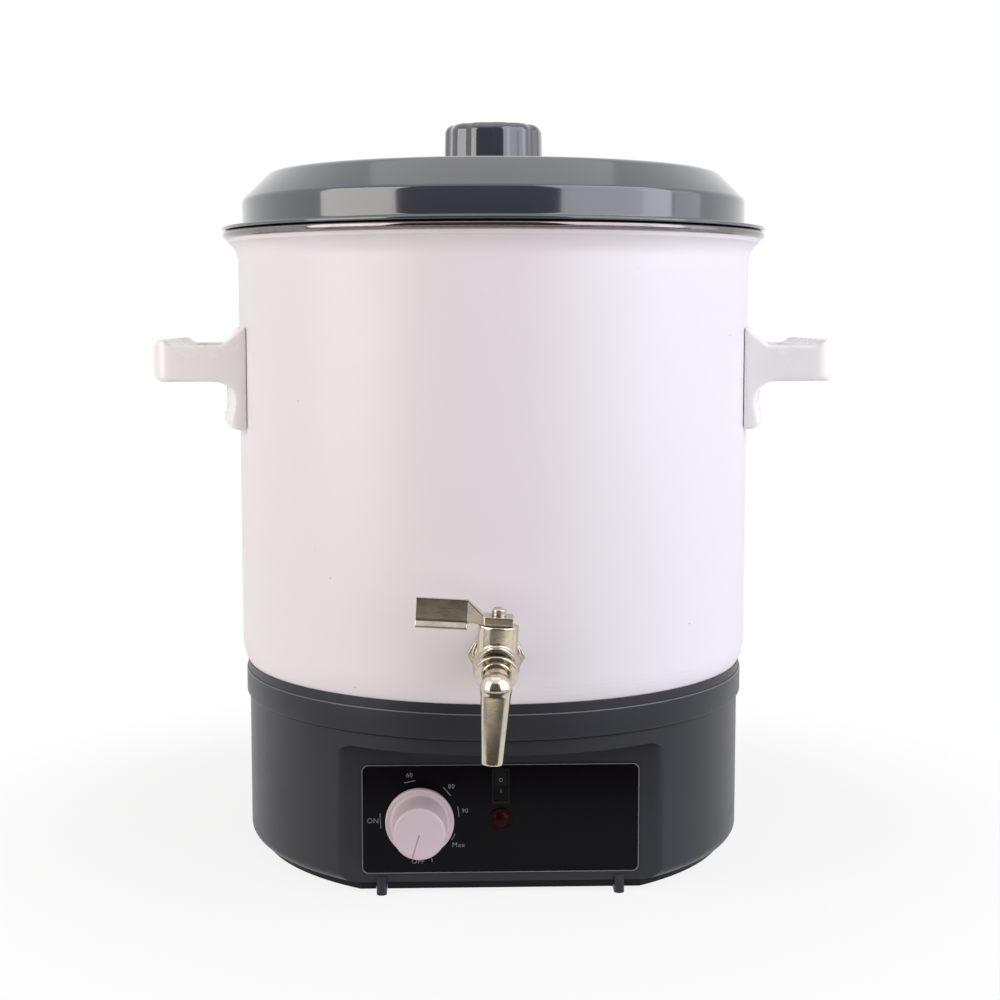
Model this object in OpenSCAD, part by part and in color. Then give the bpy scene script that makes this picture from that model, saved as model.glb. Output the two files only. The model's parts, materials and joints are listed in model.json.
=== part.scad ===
// Candle wax melter: enamelled pot on a heated base, with a lid and a drain tap.
// Millimetres. Origin on the pot's axis in the plane of the feet, front towards -Y.

/* [Base] */
// Distance of the housing's wall inside the line of the pot's wall
base_inset = 4.5; // [3.5:0.25:5.5]
// Height of the housing's lower edge above the feet's plane
base_z = 8; // [6:0.5:11]
// Height of the housing, up to the collar
base_h = 101; // [97:0.5:106]
// Wall of the housing
base_wall = 3; // [2:0.25:3.25]
// Rounding of the housing's lower edge
base_edge_r = 7; // [4:0.5:9]
// Width of the flange turned in at the housing's lower edge
flange_w = 20; // [18:1:28]
// Width of the collar's lip outside the pot
lip_w = 1.2; // [1:0.1:2]
// Clearance between the collar's lip and the pot
lip_gap = 0.4; // [0.3:0.05:0.8]
// Height of the lip's slope over the collar's straight wall
lip_h = 6.7; // [5.5:0.1:8]
// Height of the collar's straight wall
collar_h = 16; // [13:0.5:17]
// Depth of the spigot that plugs the collar into the housing
spigot_h = 6; // [4:0.5:6.5]
// Clearance between parts that plug together
fit_gap = 0.3; // [0.2:0.05:0.5]

/* [Front facet] */
// Depth of the flat facet behind the front of the drum
facet_depth = 34; // [31:0.5:36]
// Height of the ledge that overhangs the facet
ledge_h = 10; // [10:0.5:13]
// Rounding of the facet's upper corners
facet_corner_r = 14; // [8:1:20]
// Rounding of the upright edges where the facet meets the drum
cheek_r = 9; // [6:0.5:11]

/* [Control panel] */
// Width of the panel
panel_w = 178; // [168:1:182]
// Height of the panel
panel_h = 71; // [66:1:74]
// Height of the panel's lower edge above the housing's lower edge
panel_rise = 6; // [5:0.5:9]
// Thickness of the panel
panel_t = 1.2; // [0.8:0.1:2]
// Corner radius of the panel
panel_corner_r = 4; // [2:0.5:8]

/* [Thermostat and dial] */
// Distance of the dial from the middle of the panel
dial_x = 52; // [46:0.5:58]
// Height of the dial's axis above the panel's lower edge
dial_rise = 34.5; // [32:0.5:38]
// Radius of the dial's skirt
dial_skirt_r = 22; // [20:0.5:24]
// Thickness of the dial's skirt at its rim
dial_skirt_t = 4; // [3:0.25:6]
// Radius of the dial's grip where it leaves the skirt
dial_r1 = 18; // [16.5:0.25:19]
// Radius of the dial's grip at its front
dial_r2 = 16.5; // [14:0.25:18]
// Length of the dial
dial_l = 29; // [25:0.5:34]
// Radius of the thermostat's spindle
spindle_r = 3; // [2.5:0.1:4]
// Radius of the thermostat's threaded neck
neck_r = 5; // [4.5:0.1:6]
// Width of the thermostat's case
thermo_w = 40; // [34:1:46]
// Height of the thermostat's case
thermo_h = 30; // [26:1:34]
// Depth of the thermostat's case
thermo_d = 22; // [18:1:26]
// Radius of the sensor bulb
bulb_r = 3; // [2:0.1:4]
// Length of the sensor bulb
bulb_l = 60; // [40:1:70]

/* [Switch and lamp] */
// Width of the rocker switch's rim
switch_w = 11.4; // [10.8:0.1:12]
// Height of the rocker switch's rim
switch_h = 23.4; // [22.6:0.1:25]
// Height of the switch's middle above the panel's lower edge
switch_rise = 57; // [54:0.5:58]
// Depth of the switch behind the panel
switch_d = 20; // [16:1:24]
// Width of the switch's rim either side of the rocker
switch_frame_w = 1.6; // [1.5:0.1:2]
// Height of the switch's rim above and below the rocker
switch_frame_h = 2.6; // [2.4:0.1:3]
// Tilt of the rocker to either side
rocker_tilt = 7; // [5:0.5:9]
// Radius of the indicator's body
lamp_r = 6.2; // [5:0.1:7]
// Width of the indicator's rim over the panel
lamp_rim_w = 1; // [0.8:0.1:1.5]
// Wall of the indicator's body round its lens
lamp_wall = 1; // [0.6:0.1:1.2]
// Height of the lamp's middle above the panel's lower edge
lamp_rise = 35; // [32:0.5:37]

/* [Feet and bottom] */
// Width of a front foot
foot_w = 6.6; // [5:0.1:9]
// Height of the front foot's upright peg
foot_peg_h = 12; // [11.5:0.1:16]
// Distance of the front feet from the middle
foot_x = 76.6; // [70:0.1:84]
// Length of a foot under the base
foot_l = 19; // [14:0.5:20]
// Inset of the bottom plate from the housing's flat lower rim
plate_inset = 2; // [1:0.25:3]
// Thickness of the bottom plate
plate_t = 2; // [1.5:0.1:2.5]
// Height of the bottom plate's rim
plate_rim_h = 5; // [4:0.25:5.5]
// Radius of the screws' shanks in the bottom plate
plate_screw_r = 2; // [1.5:0.1:2.5]
// Radius of the cord's hole in the rear gland
gland_bore_r = 3.75; // [3:0.05:4.5]
// Height of the rear gland's axis above the housing's lower edge
gland_rise = 28; // [24:0.5:34]

/* [Pot] */
// Outer radius of the pot
pot_r = 177.5; // [176.5:0.1:178.5]
// Wall of the pot
pot_wall = 0.8; // [0.8:0.1:1.6]
// Height of the straight wall above the pot's rounded bottom corner
pot_straight_h = 262; // [240:1:290]
// Radius of the pot's bottom corner
pot_corner_r = 28; // [26:0.5:30]
// Height of the collar's lip over the pot's underside
pot_sink = 13.7; // [12.5:0.1:15]
// Height of the flare at the pot's mouth
flare_h = 14.5; // [12:0.5:17]
// Width by which the mouth flares out
flare_w = 8; // [6:0.5:9]
// Section radius of the rolled rim ring
rim_r = 2.75; // [2.25:0.05:3.25]

/* [Heater] */
// Gap between the heating plate and the sensor bulb
heater_gap = 9; // [2:0.5:20]
// Thickness of the heating plate
heater_t = 3.8; // [3:0.1:5]
// Section radius of the tubular element
element_r = 4; // [3:0.1:4.5]
// Distance of the tubular element's ring inside the heating plate's edge
element_inset = 25; // [10:1:35]
// Gap between the heat shield's pan and the back of the facet
shield_gap = 2; // [1.5:0.25:5]
// Depth of the heat shield's pan
shield_h = 23; // [21:0.5:26]
// Thickness of the heat shield
shield_t = 1; // [0.8:0.1:1.5]
// Radius of the stud that clamps the pot to the base
stud_r = 4; // [3:0.1:5]
// Length of the clamp stud
stud_l = 40; // [36:1:48]

/* [Handles] */
// Reach of a handle from the pot's wall
handle_reach = 53; // [48:0.5:60]
// Width of a handle along the pot's wall
handle_w = 122; // [108:1:132]
// Thickness of the grip and its two arms, from top to bottom
grip_h = 24.5; // [21:0.5:28]
// Depth of the grip bar
grip_d = 19; // [17:0.5:22]
// Width of each arm
arm_w = 18; // [15:0.5:22]
// Distance of the handle's lower edge below the pot's mouth
handle_drop = 128.5; // [120:0.5:138]
// Depth of the plate that holds the handle to the wall
handle_plate_d = 9; // [8:0.5:11]

/* [Lid] */
// Overhang of the lid's flange over the rim ring
lid_overhang = 0.5; // [0:0.1:2]
// Thickness of the lid's flange
lid_flange_t = 2.2; // [1.5:0.1:3]
// Width of the lid's flange outside its upright wall
lid_ledge_w = 14.1; // [12.5:0.1:16]
// Height of the lid's upright wall over the flange
lid_wall_h = 18.5; // [15:0.5:22]
// Width of the slope between wall and crown
lid_slope_w = 18.9; // [15:0.1:24]
// Height of the slope between wall and crown
lid_slope_h = 19; // [15:0.5:22]
// Rise of the domed crown
lid_dome_h = 5; // [3:0.5:9]
// Thickness of the lid
lid_t = 2.4; // [1.8:0.1:3]
// Depth of the skirt that centres the lid in the pot
lid_skirt_h = 6; // [4:0.5:9]
// Gap between the lid's skirt and the pot's wall
lid_skirt_gap = 4.2; // [3.8:0.1:6]
// Radius of the lid's knob
knob_r = 34.3; // [30:0.1:38]
// Height of the knob
knob_h = 30; // [24:0.5:34]
// Number of flutes round the knob
knob_flutes = 12; // [8:1:16]
// Depth of the knob's flutes
knob_flute_d = 1.3; // [0.8:0.1:2]
// Rounding of the knob's upper edge
knob_edge_r = 6; // [4:0.5:8]

/* [Tap] */
// Height of the tap's inlet over the pot's underside
tap_rise = 47; // [46:0.5:57]
// Sideways lean of the tap about its inlet
tap_lean = 3; // [0:0.5:4]
// Turn of the tap round the pot, towards the dial's side
tap_turn = 1.4; // [0:0.2:3]
// Radius of the tap's threaded inlet
inlet_r = 8.5; // [7.5:0.1:9.5]
// Radius of the tap's waterway
way_r = 5; // [4:0.1:5.2]
// Width across the flats of the tap's nuts
nut_af = 31; // [27:0.5:32]
// Thickness of the tap's outer nut
nut_t = 7.5; // [6:0.25:8]
// Thickness of the seals either side of the pot's wall
tap_seal_t = 2; // [1.5:0.1:2.5]
// Radius of the valve's ball
ball_r = 8.5; // [8:0.1:8.8]
// Distance of the ball from the pot's wall
ball_reach = 25; // [24:0.5:28]
// Radius of the ball's chamber
chamber_r = 14.3; // [13.8:0.1:15.5]
// Radius of the tap's bonnet
bonnet_r = 12.2; // [10.6:0.1:12.6]
// Height of the bonnet over the inlet's axis
bonnet_h = 22; // [20:0.5:25]
// Radius of the tap's stem
stem_r = 4; // [3.6:0.1:4.4]
// Running clearance of the stem and spindle
run_gap = 0.06; // [0.03:0.01:0.09]
// Reach of the spout's axis from the pot's wall
spout_reach = 52; // [50:0.5:60]
// Drop of the spout's elbow below the inlet
spout_drop = 11; // [9:0.5:13]
// Height of the spout's mouth below the inlet
spout_l = 56; // [50:0.5:62]
// Outer radius of the spout at its elbow
spout_r1 = 9.25; // [8.6:0.05:9.8]
// Outer radius of the spout at its mouth
spout_r2 = 6.6; // [6.4:0.1:7.5]
// Radius of the union ring between body and spout
union_r = 13; // [12.5:0.1:14]
// Thickness of the union ring
union_t = 4; // [3:0.1:5]
// Thickness of the lever's hub
hub_t = 5.2; // [4:0.1:6]
// Width of the lever's hub
hub_w = 17.3; // [16:0.1:19]
// Thickness of the lever's paddle
paddle_t = 2.4; // [1.8:0.1:3]
// Height of the lever's paddle
paddle_h = 18.5; // [15:0.5:20]
// Distance of the paddle's near end from the stem
paddle_x1 = 18.5; // [17.5:0.5:22]
// Distance of the paddle's tip from the stem
paddle_x2 = 50; // [45:0.5:60]

/* [Hidden] */
$fn = 96;
eps = 0.01;
// Gap between faces that rest on each other
touch_gap = 0.1;
// Levels, all over the feet's plane
base_top = base_z + base_h;
facet_top = base_top - ledge_h;
collar_top = base_top + collar_h;
lip_top = collar_top + lip_h;
pot_z = lip_top - pot_sink;
corner_z = pot_z + pot_corner_r;
flare_z = corner_z + pot_straight_h;
mouth_z = flare_z + flare_h;
rim_z = mouth_z + rim_r;
tap_z = pot_z + tap_rise;
handle_z = mouth_z - handle_drop;
// Rim of the pot, and the lid that lies on it
rim_bite = 0.25;
rim_ring_r = pot_r + flare_w - rim_bite;
flare_angle = acos(1 - (flare_w - 1.5) / flare_h);
lid_z = rim_z + rim_r + fit_gap;
lid_r = rim_ring_r + rim_r + lid_overhang;
lid_wall_r = lid_r - lid_ledge_w;
lid_crown_r = lid_wall_r - lid_slope_w;
lid_in_r = pot_r - pot_wall - lid_skirt_gap;
wall_top = lid_z + lid_flange_t + lid_wall_h;
crown_z = wall_top + lid_slope_h;
knob_z = crown_z + lid_dome_h;
washer_t = 1.2;
washer_z = knob_z - lid_t - touch_gap - washer_t;
// Radius of the pot where the collar's lip meets it, and what stands round it
lip_in_r = pot_r - pot_corner_r + sqrt(pow(pot_corner_r, 2) - pow(pot_corner_r - pot_sink, 2)) + lip_gap;
lip_t = 3;
collar_r = lip_in_r + lip_w;
base_r = pot_r - base_inset;
housing_in_r = base_r - base_wall;
spigot_r = housing_in_r - fit_gap;
spigot_t = 2.9;
// Front of the housing
facet_y = base_r - facet_depth;
facet_in_y = facet_y - base_wall;
panel_z = base_z + panel_rise;
dial_z = panel_z + dial_rise;
switch_z = panel_z + switch_rise;
lamp_z = panel_z + lamp_rise;
spindle_l = 20;
// Switch's case behind the panel, and its rocker
switch_case_w = switch_w - 0.8;
switch_case_h = switch_h - 1.2;
switch_rim_t = 1.2;
rocker_w = switch_w - 2 * switch_frame_w;
rocker_half_h = switch_h / 2 - switch_frame_h;
rocker_pin_r = 1.2;
rocker_pivot = 1;
rocker_reach = 2.6;
// Underside: bottom plate, its screws and the feet
plate_z = base_z - plate_rim_h;
rim_flat_r = base_r - base_edge_r;
plate_r = rim_flat_r - plate_inset;
flange_in_r = rim_flat_r - flange_w + base_edge_r;
boss_r = 5;
boss_h = 14;
screw_ring_r = (plate_r + flange_in_r) / 2;
plate_head_r = 2 * plate_screw_r;
plate_head_h = 1.8;
plate_head_sink = 2;
plate_pad_r = plate_head_r + 2;
plate_front = facet_y - plate_inset;
front_screw_angle = asin((plate_front - foot_l - plate_pad_r - fit_gap) / screw_ring_r);
screw_angles = [45, 135, 180 + front_screw_angle, 360 - front_screw_angle];
rear_foot_w = 12;
rear_foot_l = 14;
rear_foot_r = rim_flat_r - 8;
rear_foot_angles = [50, 130];
// Rear gland and the terminal block in front of it
gland_z = base_z + gland_rise;
gland_r = 8;
gland_flange_r = 12;
gland_flange_t = 4;
gland_reach = 18;
terminal_y = housing_in_r - 60;
// Pot's seal, and the collar's seat under it
seal_r = 2;
seal_angle = 60;
seal_reach = pot_corner_r + seal_r + 0.15;
seal_ring_r = pot_r - pot_corner_r + seal_reach * cos(seal_angle);
seal_z = corner_z - seal_reach * sin(seal_angle);
seat_z = pot_z - 0.25;
seat_t = 2.75;
seat_in_r = seal_ring_r - seal_r - 2.5;
// Heater, from the pot's underside down
heater_z = pot_z - 2 * touch_gap - heater_t;
element_z = heater_z - element_r;
// Angle from the back at which each leg of the element turns down
element_leg_angle = 12;
shield_r = facet_in_y - shield_gap;
shield_z = seat_z - seat_t - shield_h;
bulb_y = shield_r - shield_t - bulb_r - 8;
heater_r = bulb_y - bulb_r - heater_gap;
element_ring_r = heater_r - element_inset;
capillary_r = 1;
capillary_x = dial_x - 8;
// Side view of a handle's arms, over the plate's lower edge
grip_rise = 32.5;
grip_low_r = 6;
grip_top_r = 7;
grip_lip_h = 4;
grip_lip_w = 8;
grip_lip_slope = 5;
root_rise = 12.5;
root_foot_w = 7;
root_slope = 15;
brace_in = 2.5;
brace_r = 14;
// Section of the plate that hugs the wall, with a tab below
tab_t = 10.5;
tab_flat = 9;
tab_r = 3;
neck_t = 8.2;
neck_rise = 19;
root_t = 1.6;
plate_in = 3;
handle_h = grip_rise + grip_h + root_rise;
handle_end_x = pot_r + handle_reach;
handle_root_x = sqrt(pow(pot_r, 2) - pow(handle_w / 2, 2)) - 2;
handle_corner_r = 12;
// Handle screws, two a side
handle_screw_r = 2.5;
handle_screw_y = 24;
handle_screw_z = handle_z + 48;
handle_screw_x = sqrt(pow(pot_r + handle_plate_d, 2) - pow(handle_screw_y + handle_screw_r, 2)) - 2.5;
handle_head_r = 4.6;
// Tap's inner places, seen from the inlet's outer end
seat_reach = ball_r + 0.8;
seat_ring_out_r = seat_reach;
cavity_r = seat_ring_out_r + touch_gap;
plane_reach = ball_reach + seat_reach + 2.2;
plane_drop = 4.2;
outlet_tilt = atan2(spout_drop - plane_drop, spout_reach - plane_reach);
hub_z = bonnet_h + fit_gap;
hub_top = hub_z + hub_t;
inlet_in_l = 16;
packing_r = 7;
packing_h = 5;
tang_w = 3;
tang_d = 2.5;
stem_square = 5.6;
screw_r = 2;

// ---- Shared shapes ----

// Cylinder lying along Y, from y0 to y1
module rod_y(r, y0, y1) {
    translate([0, y0, 0])
        rotate([-90, 0, 0])
            cylinder(r = r, h = y1 - y0);
}

// Cylinder lying along X, from x0 to x1
module rod_x(r, x0, x1) {
    translate([x0, 0, 0])
        rotate([0, 90, 0])
            cylinder(r = r, h = x1 - x0);
}

// Hexagonal prism lying along Y, from y0 to y1
module hex_y(af, y0, y1) {
    translate([0, y0, 0])
        rotate([-90, 0, 0])
            cylinder(d = af / cos(30), h = y1 - y0, $fn = 6);
}

// List in the opposite order
function reverse_list(list) = [for (i = [len(list) - 1:-1:0]) list[i]];

// Points of an arc about c from angle a to angle b, in steps of about 6 degrees
function arc(c, r, a, b) =
    let (n = max(2, ceil(abs(b - a) / 6)))
    [for (i = [0:n]) c + r * [cos(a + (b - a) * i / n), sin(a + (b - a) * i / n)]];

// Rectangle with rounded corners, from exact circles and squares
module rounded_rect(w, h, r) {
    square([w - 2 * r, h], center = true);
    square([w, h - 2 * r], center = true);
    for (x = [-1, 1])
        for (y = [-1, 1])
            translate([x * (w / 2 - r), y * (h / 2 - r)])
                circle(r = r);
}

// Moves a child to a place on the panel, its Y counted outwards from the facet's plane
module on_panel(x, z) {
    translate([x, -facet_y, z])
        children();
}

// ---- Base ----

// Space in front of the facet, cut from a drum of radius r, with its upright edges rounded
module facet_space(r, y, edge_r, top, corner_r) {
    edge_y = y - edge_r;
    edge_x = sqrt((r - edge_r) * (r - edge_r) - edge_y * edge_y);
    tangent = r / (r - edge_r);
    half_w = edge_x * tangent;
    front_half_w = half_w + edge_r / 4;
    over = r / 8;
    intersection() {
        translate([0, 0, -eps])
            linear_extrude(height = top + eps)
                difference() {
                    polygon([
                        [edge_x, -y], [half_w, -edge_y * tangent], [half_w + over, -r - over],
                        [-half_w - over, -r - over], [-half_w, -edge_y * tangent], [-edge_x, -y]
                    ]);
                    for (side = [-1, 1])
                        translate([side * edge_x, -edge_y])
                            circle(r = edge_r);
                }
        translate([0, -edge_y + over, 0])
            rotate([90, 0, 0])
                linear_extrude(height = r)
                    union() {
                        translate([-front_half_w, -1])
                            square([2 * front_half_w, top - corner_r + 1]);
                        translate([-front_half_w + corner_r, 0])
                            square([2 * (front_half_w - corner_r), top]);
                        for (side = [-1, 1])
                            translate([side * (front_half_w - corner_r), top - corner_r])
                                circle(r = corner_r);
                    }
    }
}

module base_housing() {
    color([0.24, 0.25, 0.31])
        difference() {
            union() {
                difference() {
                    // Drum with a rounded lower edge
                    rotate_extrude()
                        union() {
                            translate([0, base_z])
                                square([rim_flat_r, base_h]);
                            translate([0, base_z + base_edge_r])
                                square([base_r, base_h - base_edge_r]);
                            translate([rim_flat_r, base_z + base_edge_r])
                                circle(r = base_edge_r);
                        }
                    facet_space(base_r, facet_y, cheek_r, facet_top, facet_corner_r);
                    // Hollow, with the flange left at the bottom
                    difference() {
                        translate([0, 0, base_z + base_wall])
                            cylinder(r = housing_in_r, h = base_h);
                        facet_space(housing_in_r + eps, facet_in_y, cheek_r, facet_top + base_wall,
                            facet_corner_r);
                        // Slope that thickens the wall over the rounded lower edge
                        rotate_extrude()
                            polygon([
                                [rim_flat_r - 2, base_z], [base_r, base_z],
                                [base_r, base_z + base_edge_r + 1], [housing_in_r, base_z + base_edge_r + 1]
                            ]);
                    }
                    intersection() {
                        cylinder(r = flange_in_r, h = base_z + base_wall + eps);
                        translate([-base_r, -facet_in_y + flange_w - base_edge_r, 0])
                            cube([2 * base_r, 2 * base_r, base_top]);
                    }
                }
                // Bosses for the bottom plate's screws
                for (a = screw_angles)
                    rotate(a)
                        translate([screw_ring_r, 0, base_z + base_wall - eps])
                            cylinder(r = boss_r, h = boss_h);
            }
            for (a = screw_angles)
                rotate(a)
                    translate([screw_ring_r, 0, base_z - 1])
                        cylinder(r = plate_screw_r + run_gap, h = base_wall + boss_h - 1);
            // Holes of the thermostat's neck, the switch, the lamp and the rear gland
            on_panel(-dial_x, dial_z)
                rod_y(neck_r + fit_gap, -5, base_wall + 5);
            on_panel(0, switch_z)
                translate([0, base_wall / 2, 0])
                    cube([switch_case_w + 2 * fit_gap, 3 * base_wall, switch_case_h + 2 * fit_gap],
                        center = true);
            on_panel(0, lamp_z)
                rod_y(lamp_r + fit_gap, -5, base_wall + 5);
            translate([0, 0, gland_z])
                rod_y(gland_r + fit_gap, housing_in_r - 5, base_r + 5);
        }
}

module base_collar() {
    color([0.26, 0.27, 0.33])
        rotate_extrude()
            polygon([
                [collar_r, base_top], [collar_r, collar_top], [lip_in_r + 0.6 * lip_w, lip_top],
                [lip_in_r, lip_top], [lip_in_r - lip_t, lip_top - 1.7 * lip_t], [lip_in_r - lip_t, seat_z],
                [seat_in_r, seat_z], [seat_in_r, seat_z - seat_t], [spigot_r - spigot_t, seat_z - seat_t],
                [spigot_r - spigot_t, base_top - spigot_h], [spigot_r, base_top - spigot_h],
                [spigot_r, base_top]
            ]);
}

// Outline of the bottom plate, brought in by d
module plate_outline(d) {
    intersection() {
        circle(r = plate_r - d);
        translate([-base_r, d - plate_front])
            square([2 * base_r, 2 * base_r]);
    }
}

module bottom_plate() {
    vents = 10;
    color([0.07, 0.07, 0.08])
        difference() {
            translate([0, 0, plate_z])
                linear_extrude(height = plate_rim_h)
                    plate_outline(0);
            translate([0, 0, plate_z + plate_t])
                linear_extrude(height = plate_rim_h)
                    difference() {
                        plate_outline(plate_t);
                        for (a = screw_angles)
                            rotate(a)
                                translate([screw_ring_r, 0])
                                    circle(r = plate_pad_r);
                    }
            // Counterbored holes, so that the screws stay above the plate's flat underside
            for (a = screw_angles)
                rotate(a)
                    translate([screw_ring_r, 0, 0]) {
                        cylinder(r = plate_screw_r + fit_gap, h = base_z + 1);
                        cylinder(r = plate_head_r + fit_gap, h = plate_z + plate_head_sink);
                    }
            // Notches for the feet
            for (side = [-1, 1])
                translate([side * foot_x - foot_w / 2 - fit_gap, -base_r, 0])
                    cube([foot_w + 2 * fit_gap, base_r - facet_y + foot_l + fit_gap, base_z + 1]);
            for (a = rear_foot_angles)
                rotate(a)
                    translate([rear_foot_r - rear_foot_l / 2 - 1, -rear_foot_w / 2 - 1, 0])
                        cube([rear_foot_l + 20, rear_foot_w + 2, base_z + 1]);
            // Air slots in two fans
            for (side = [0, 180])
                for (i = [0:vents - 1])
                    rotate(side + (i - (vents - 1) / 2) * 8)
                        translate([80, -1.5, plate_z - 1])
                            cube([30, 3, plate_t + 2]);
        }
}

module bottom_screws() {
    color([0.7, 0.7, 0.72])
        for (a = screw_angles)
            rotate(a)
                translate([screw_ring_r, 0, plate_z + plate_head_sink]) {
                    translate([0, 0, -plate_head_h])
                        cylinder(r = plate_head_r, h = plate_head_h);
                    translate([0, 0, -eps])
                        cylinder(r = plate_screw_r, h = plate_rim_h - plate_head_sink + boss_h - 2);
                }
}

module feet() {
    color([0.24, 0.25, 0.31]) {
        for (side = [-1, 1])
            translate([side * foot_x, 0, 0])
                intersection() {
                    // Bar with a half-round nose
                    linear_extrude(height = foot_peg_h)
                        union() {
                            translate([0, -facet_y])
                                circle(r = foot_w / 2);
                            translate([-foot_w / 2, -facet_y])
                                square([foot_w, foot_l]);
                        }
                    // Side view: the nose rises in front of the facet, with a sloped top
                    rotate([90, 0, 90])
                        linear_extrude(height = foot_w, center = true)
                            polygon([
                                [-facet_y - foot_w, 0], [-facet_y + foot_l, 0], [-facet_y + foot_l, base_z],
                                [-facet_y, base_z], [-facet_y, foot_peg_h],
                                [-facet_y - foot_w / 2, foot_peg_h - 3], [-facet_y - foot_w, foot_peg_h - 6]
                            ]);
                }
        for (a = rear_foot_angles)
            rotate(a)
                translate([rear_foot_r, 0, 0])
                    linear_extrude(height = base_z)
                        rounded_rect(rear_foot_l, rear_foot_w, 3);
    }
}

module cord_gland() {
    flange_out = base_r + gland_flange_t;
    tip = base_r + gland_reach;
    color([0.07, 0.07, 0.08])
        translate([0, 0, gland_z])
            difference() {
                union() {
                    rod_y(gland_r, housing_in_r - 9, base_r + 1);
                    difference() {
                        rod_y(gland_flange_r, base_r - 2, flange_out);
                        translate([0, 0, -base_h])
                            cylinder(r = base_r + 0.1, h = 2 * base_h);
                    }
                    translate([0, flange_out - eps, 0])
                        rotate([-90, 0, 0])
                            cylinder(r1 = gland_r, r2 = gland_r - 2.2, h = tip - flange_out);
                }
                rod_y(gland_bore_r, housing_in_r - 10, tip + 1);
            }
}

module gland_nut() {
    flat_y = sqrt(pow(housing_in_r, 2) - pow(gland_flange_r, 2)) - 0.2;
    color([0.07, 0.07, 0.08])
        translate([0, 0, gland_z])
            difference() {
                hex_y(2 * gland_flange_r * cos(30), flat_y - 5, flat_y);
                rod_y(gland_r + run_gap, flat_y - 6, flat_y + 1);
            }
}

module terminal_block() {
    block_w = 44;
    block_d = 20;
    block_h = 14;
    pitch = 13;
    color([0.9, 0.88, 0.8])
        translate([0, terminal_y, plate_z + plate_t])
            difference() {
                translate([-block_w / 2, -block_d / 2, 0])
                    cube([block_w, block_d, block_h]);
                for (i = [-1, 0, 1])
                    translate([i * pitch, 0, block_h / 2]) {
                        cylinder(r = 2.5, h = block_h);
                        rod_y(1.8, -block_d, block_d);
                    }
            }
}

// ---- Controls ----

module control_panel() {
    color([0.03, 0.03, 0.035])
        difference() {
            translate([0, -facet_y, panel_z + panel_h / 2])
                rotate([90, 0, 0])
                    linear_extrude(height = panel_t)
                        rounded_rect(panel_w, panel_h, panel_corner_r);
            on_panel(-dial_x, dial_z)
                rod_y(neck_r + fit_gap, -5, 5);
            on_panel(0, switch_z)
                cube([switch_case_w + 2 * fit_gap, 10, switch_case_h + 2 * fit_gap], center = true);
            on_panel(0, lamp_z)
                rod_y(lamp_r + fit_gap, -5, 5);
        }
}

module thermostat_body() {
    color([0.75, 0.75, 0.77])
        on_panel(-dial_x, dial_z)
            difference() {
                union() {
                    translate([-thermo_w / 2, base_wall, -thermo_h / 2])
                        cube([thermo_w, thermo_d, thermo_h]);
                    rod_y(neck_r, -panel_t - 6, base_wall + 1);
                }
                rod_y(spindle_r + run_gap, -panel_t - 7, base_wall + thermo_d - 4);
            }
}

module thermostat_nut() {
    color([0.8, 0.8, 0.82])
        on_panel(-dial_x, dial_z)
            difference() {
                hex_y(14, -panel_t - 3, -panel_t);
                rod_y(neck_r + run_gap, -panel_t - 4, 0);
            }
}

module sensor_bulb() {
    bulb_z = pot_z - 0.2 - bulb_r;
    color([0.72, 0.45, 0.3]) {
        translate([0, -bulb_y, bulb_z])
            rod_x(bulb_r, -bulb_l / 2, bulb_l / 2);
        translate([0, -bulb_y, bulb_z])
            rod_x(capillary_r, -capillary_x, -bulb_l / 2 + 1);
        translate([-capillary_x, -bulb_y, bulb_z])
            sphere(r = capillary_r);
        translate([-capillary_x, -bulb_y, dial_z + thermo_h / 2])
            cylinder(r = capillary_r, h = bulb_z - dial_z - thermo_h / 2);
    }
}

module dial_spindle() {
    color([0.8, 0.8, 0.82])
        on_panel(-dial_x, dial_z)
            rod_y(spindle_r, -panel_t - spindle_l, base_wall + thermo_d - 5);
}

module dial_knob() {
    back = panel_t + 1;
    hollow = 8.5;
    mark_w = 1;
    mark_d = 0.6;
    off_angle = 17;
    color([0.9, 0.87, 0.92])
        on_panel(-dial_x, dial_z)
            difference() {
                translate([0, -back, 0])
                    rotate([90, 0, 0])
                        rotate_extrude()
                            polygon(concat(
                                [[0, 0], [dial_skirt_r, 0]],
                                arc([dial_skirt_r - 1.2, dial_skirt_t - 1.2], 1.2, 0, 90),
                                arc([dial_r1 + 1.5, dial_skirt_t + 1.5], 1.5, 270, 180),
                                arc([dial_r2 - 1.2, dial_l - 1.2], 1.2, 0, 90),
                                [[0, dial_l]]
                            ));
                rod_y(dial_r1 - 3, -back - hollow, -back + 1);
                rod_y(spindle_r + run_gap, -panel_t - spindle_l - 1, 0);
                // Pointer line from the middle of the face to its edge
                rotate([0, off_angle, 0])
                    translate([-mark_w / 2, -back - dial_l - 1, -dial_r2 - 1])
                        cube([mark_w, 1 + mark_d, dial_r2 - 1]);
            }
}

module switch_body() {
    well_w = rocker_w + 0.5;
    well_h = 2 * sqrt(pow(rocker_half_h, 2) + pow(rocker_reach, 2)) + 0.5;
    well_d = 9;
    color([0.02, 0.02, 0.02])
        on_panel(0, switch_z)
            difference() {
                union() {
                    translate([-switch_w / 2, -panel_t - switch_rim_t, -switch_h / 2])
                        cube([switch_w, switch_rim_t, switch_h]);
                    translate([-switch_case_w / 2, -panel_t - eps, -switch_case_h / 2])
                        cube([switch_case_w, switch_d, switch_case_h]);
                }
                translate([-well_w / 2, -panel_t - switch_rim_t - 1, -well_h / 2])
                    cube([well_w, well_d + 1, well_h]);
                translate([0, -panel_t + rocker_pivot, 0])
                    rod_x(rocker_pin_r + run_gap, -switch_w, switch_w);
            }
}

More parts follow.
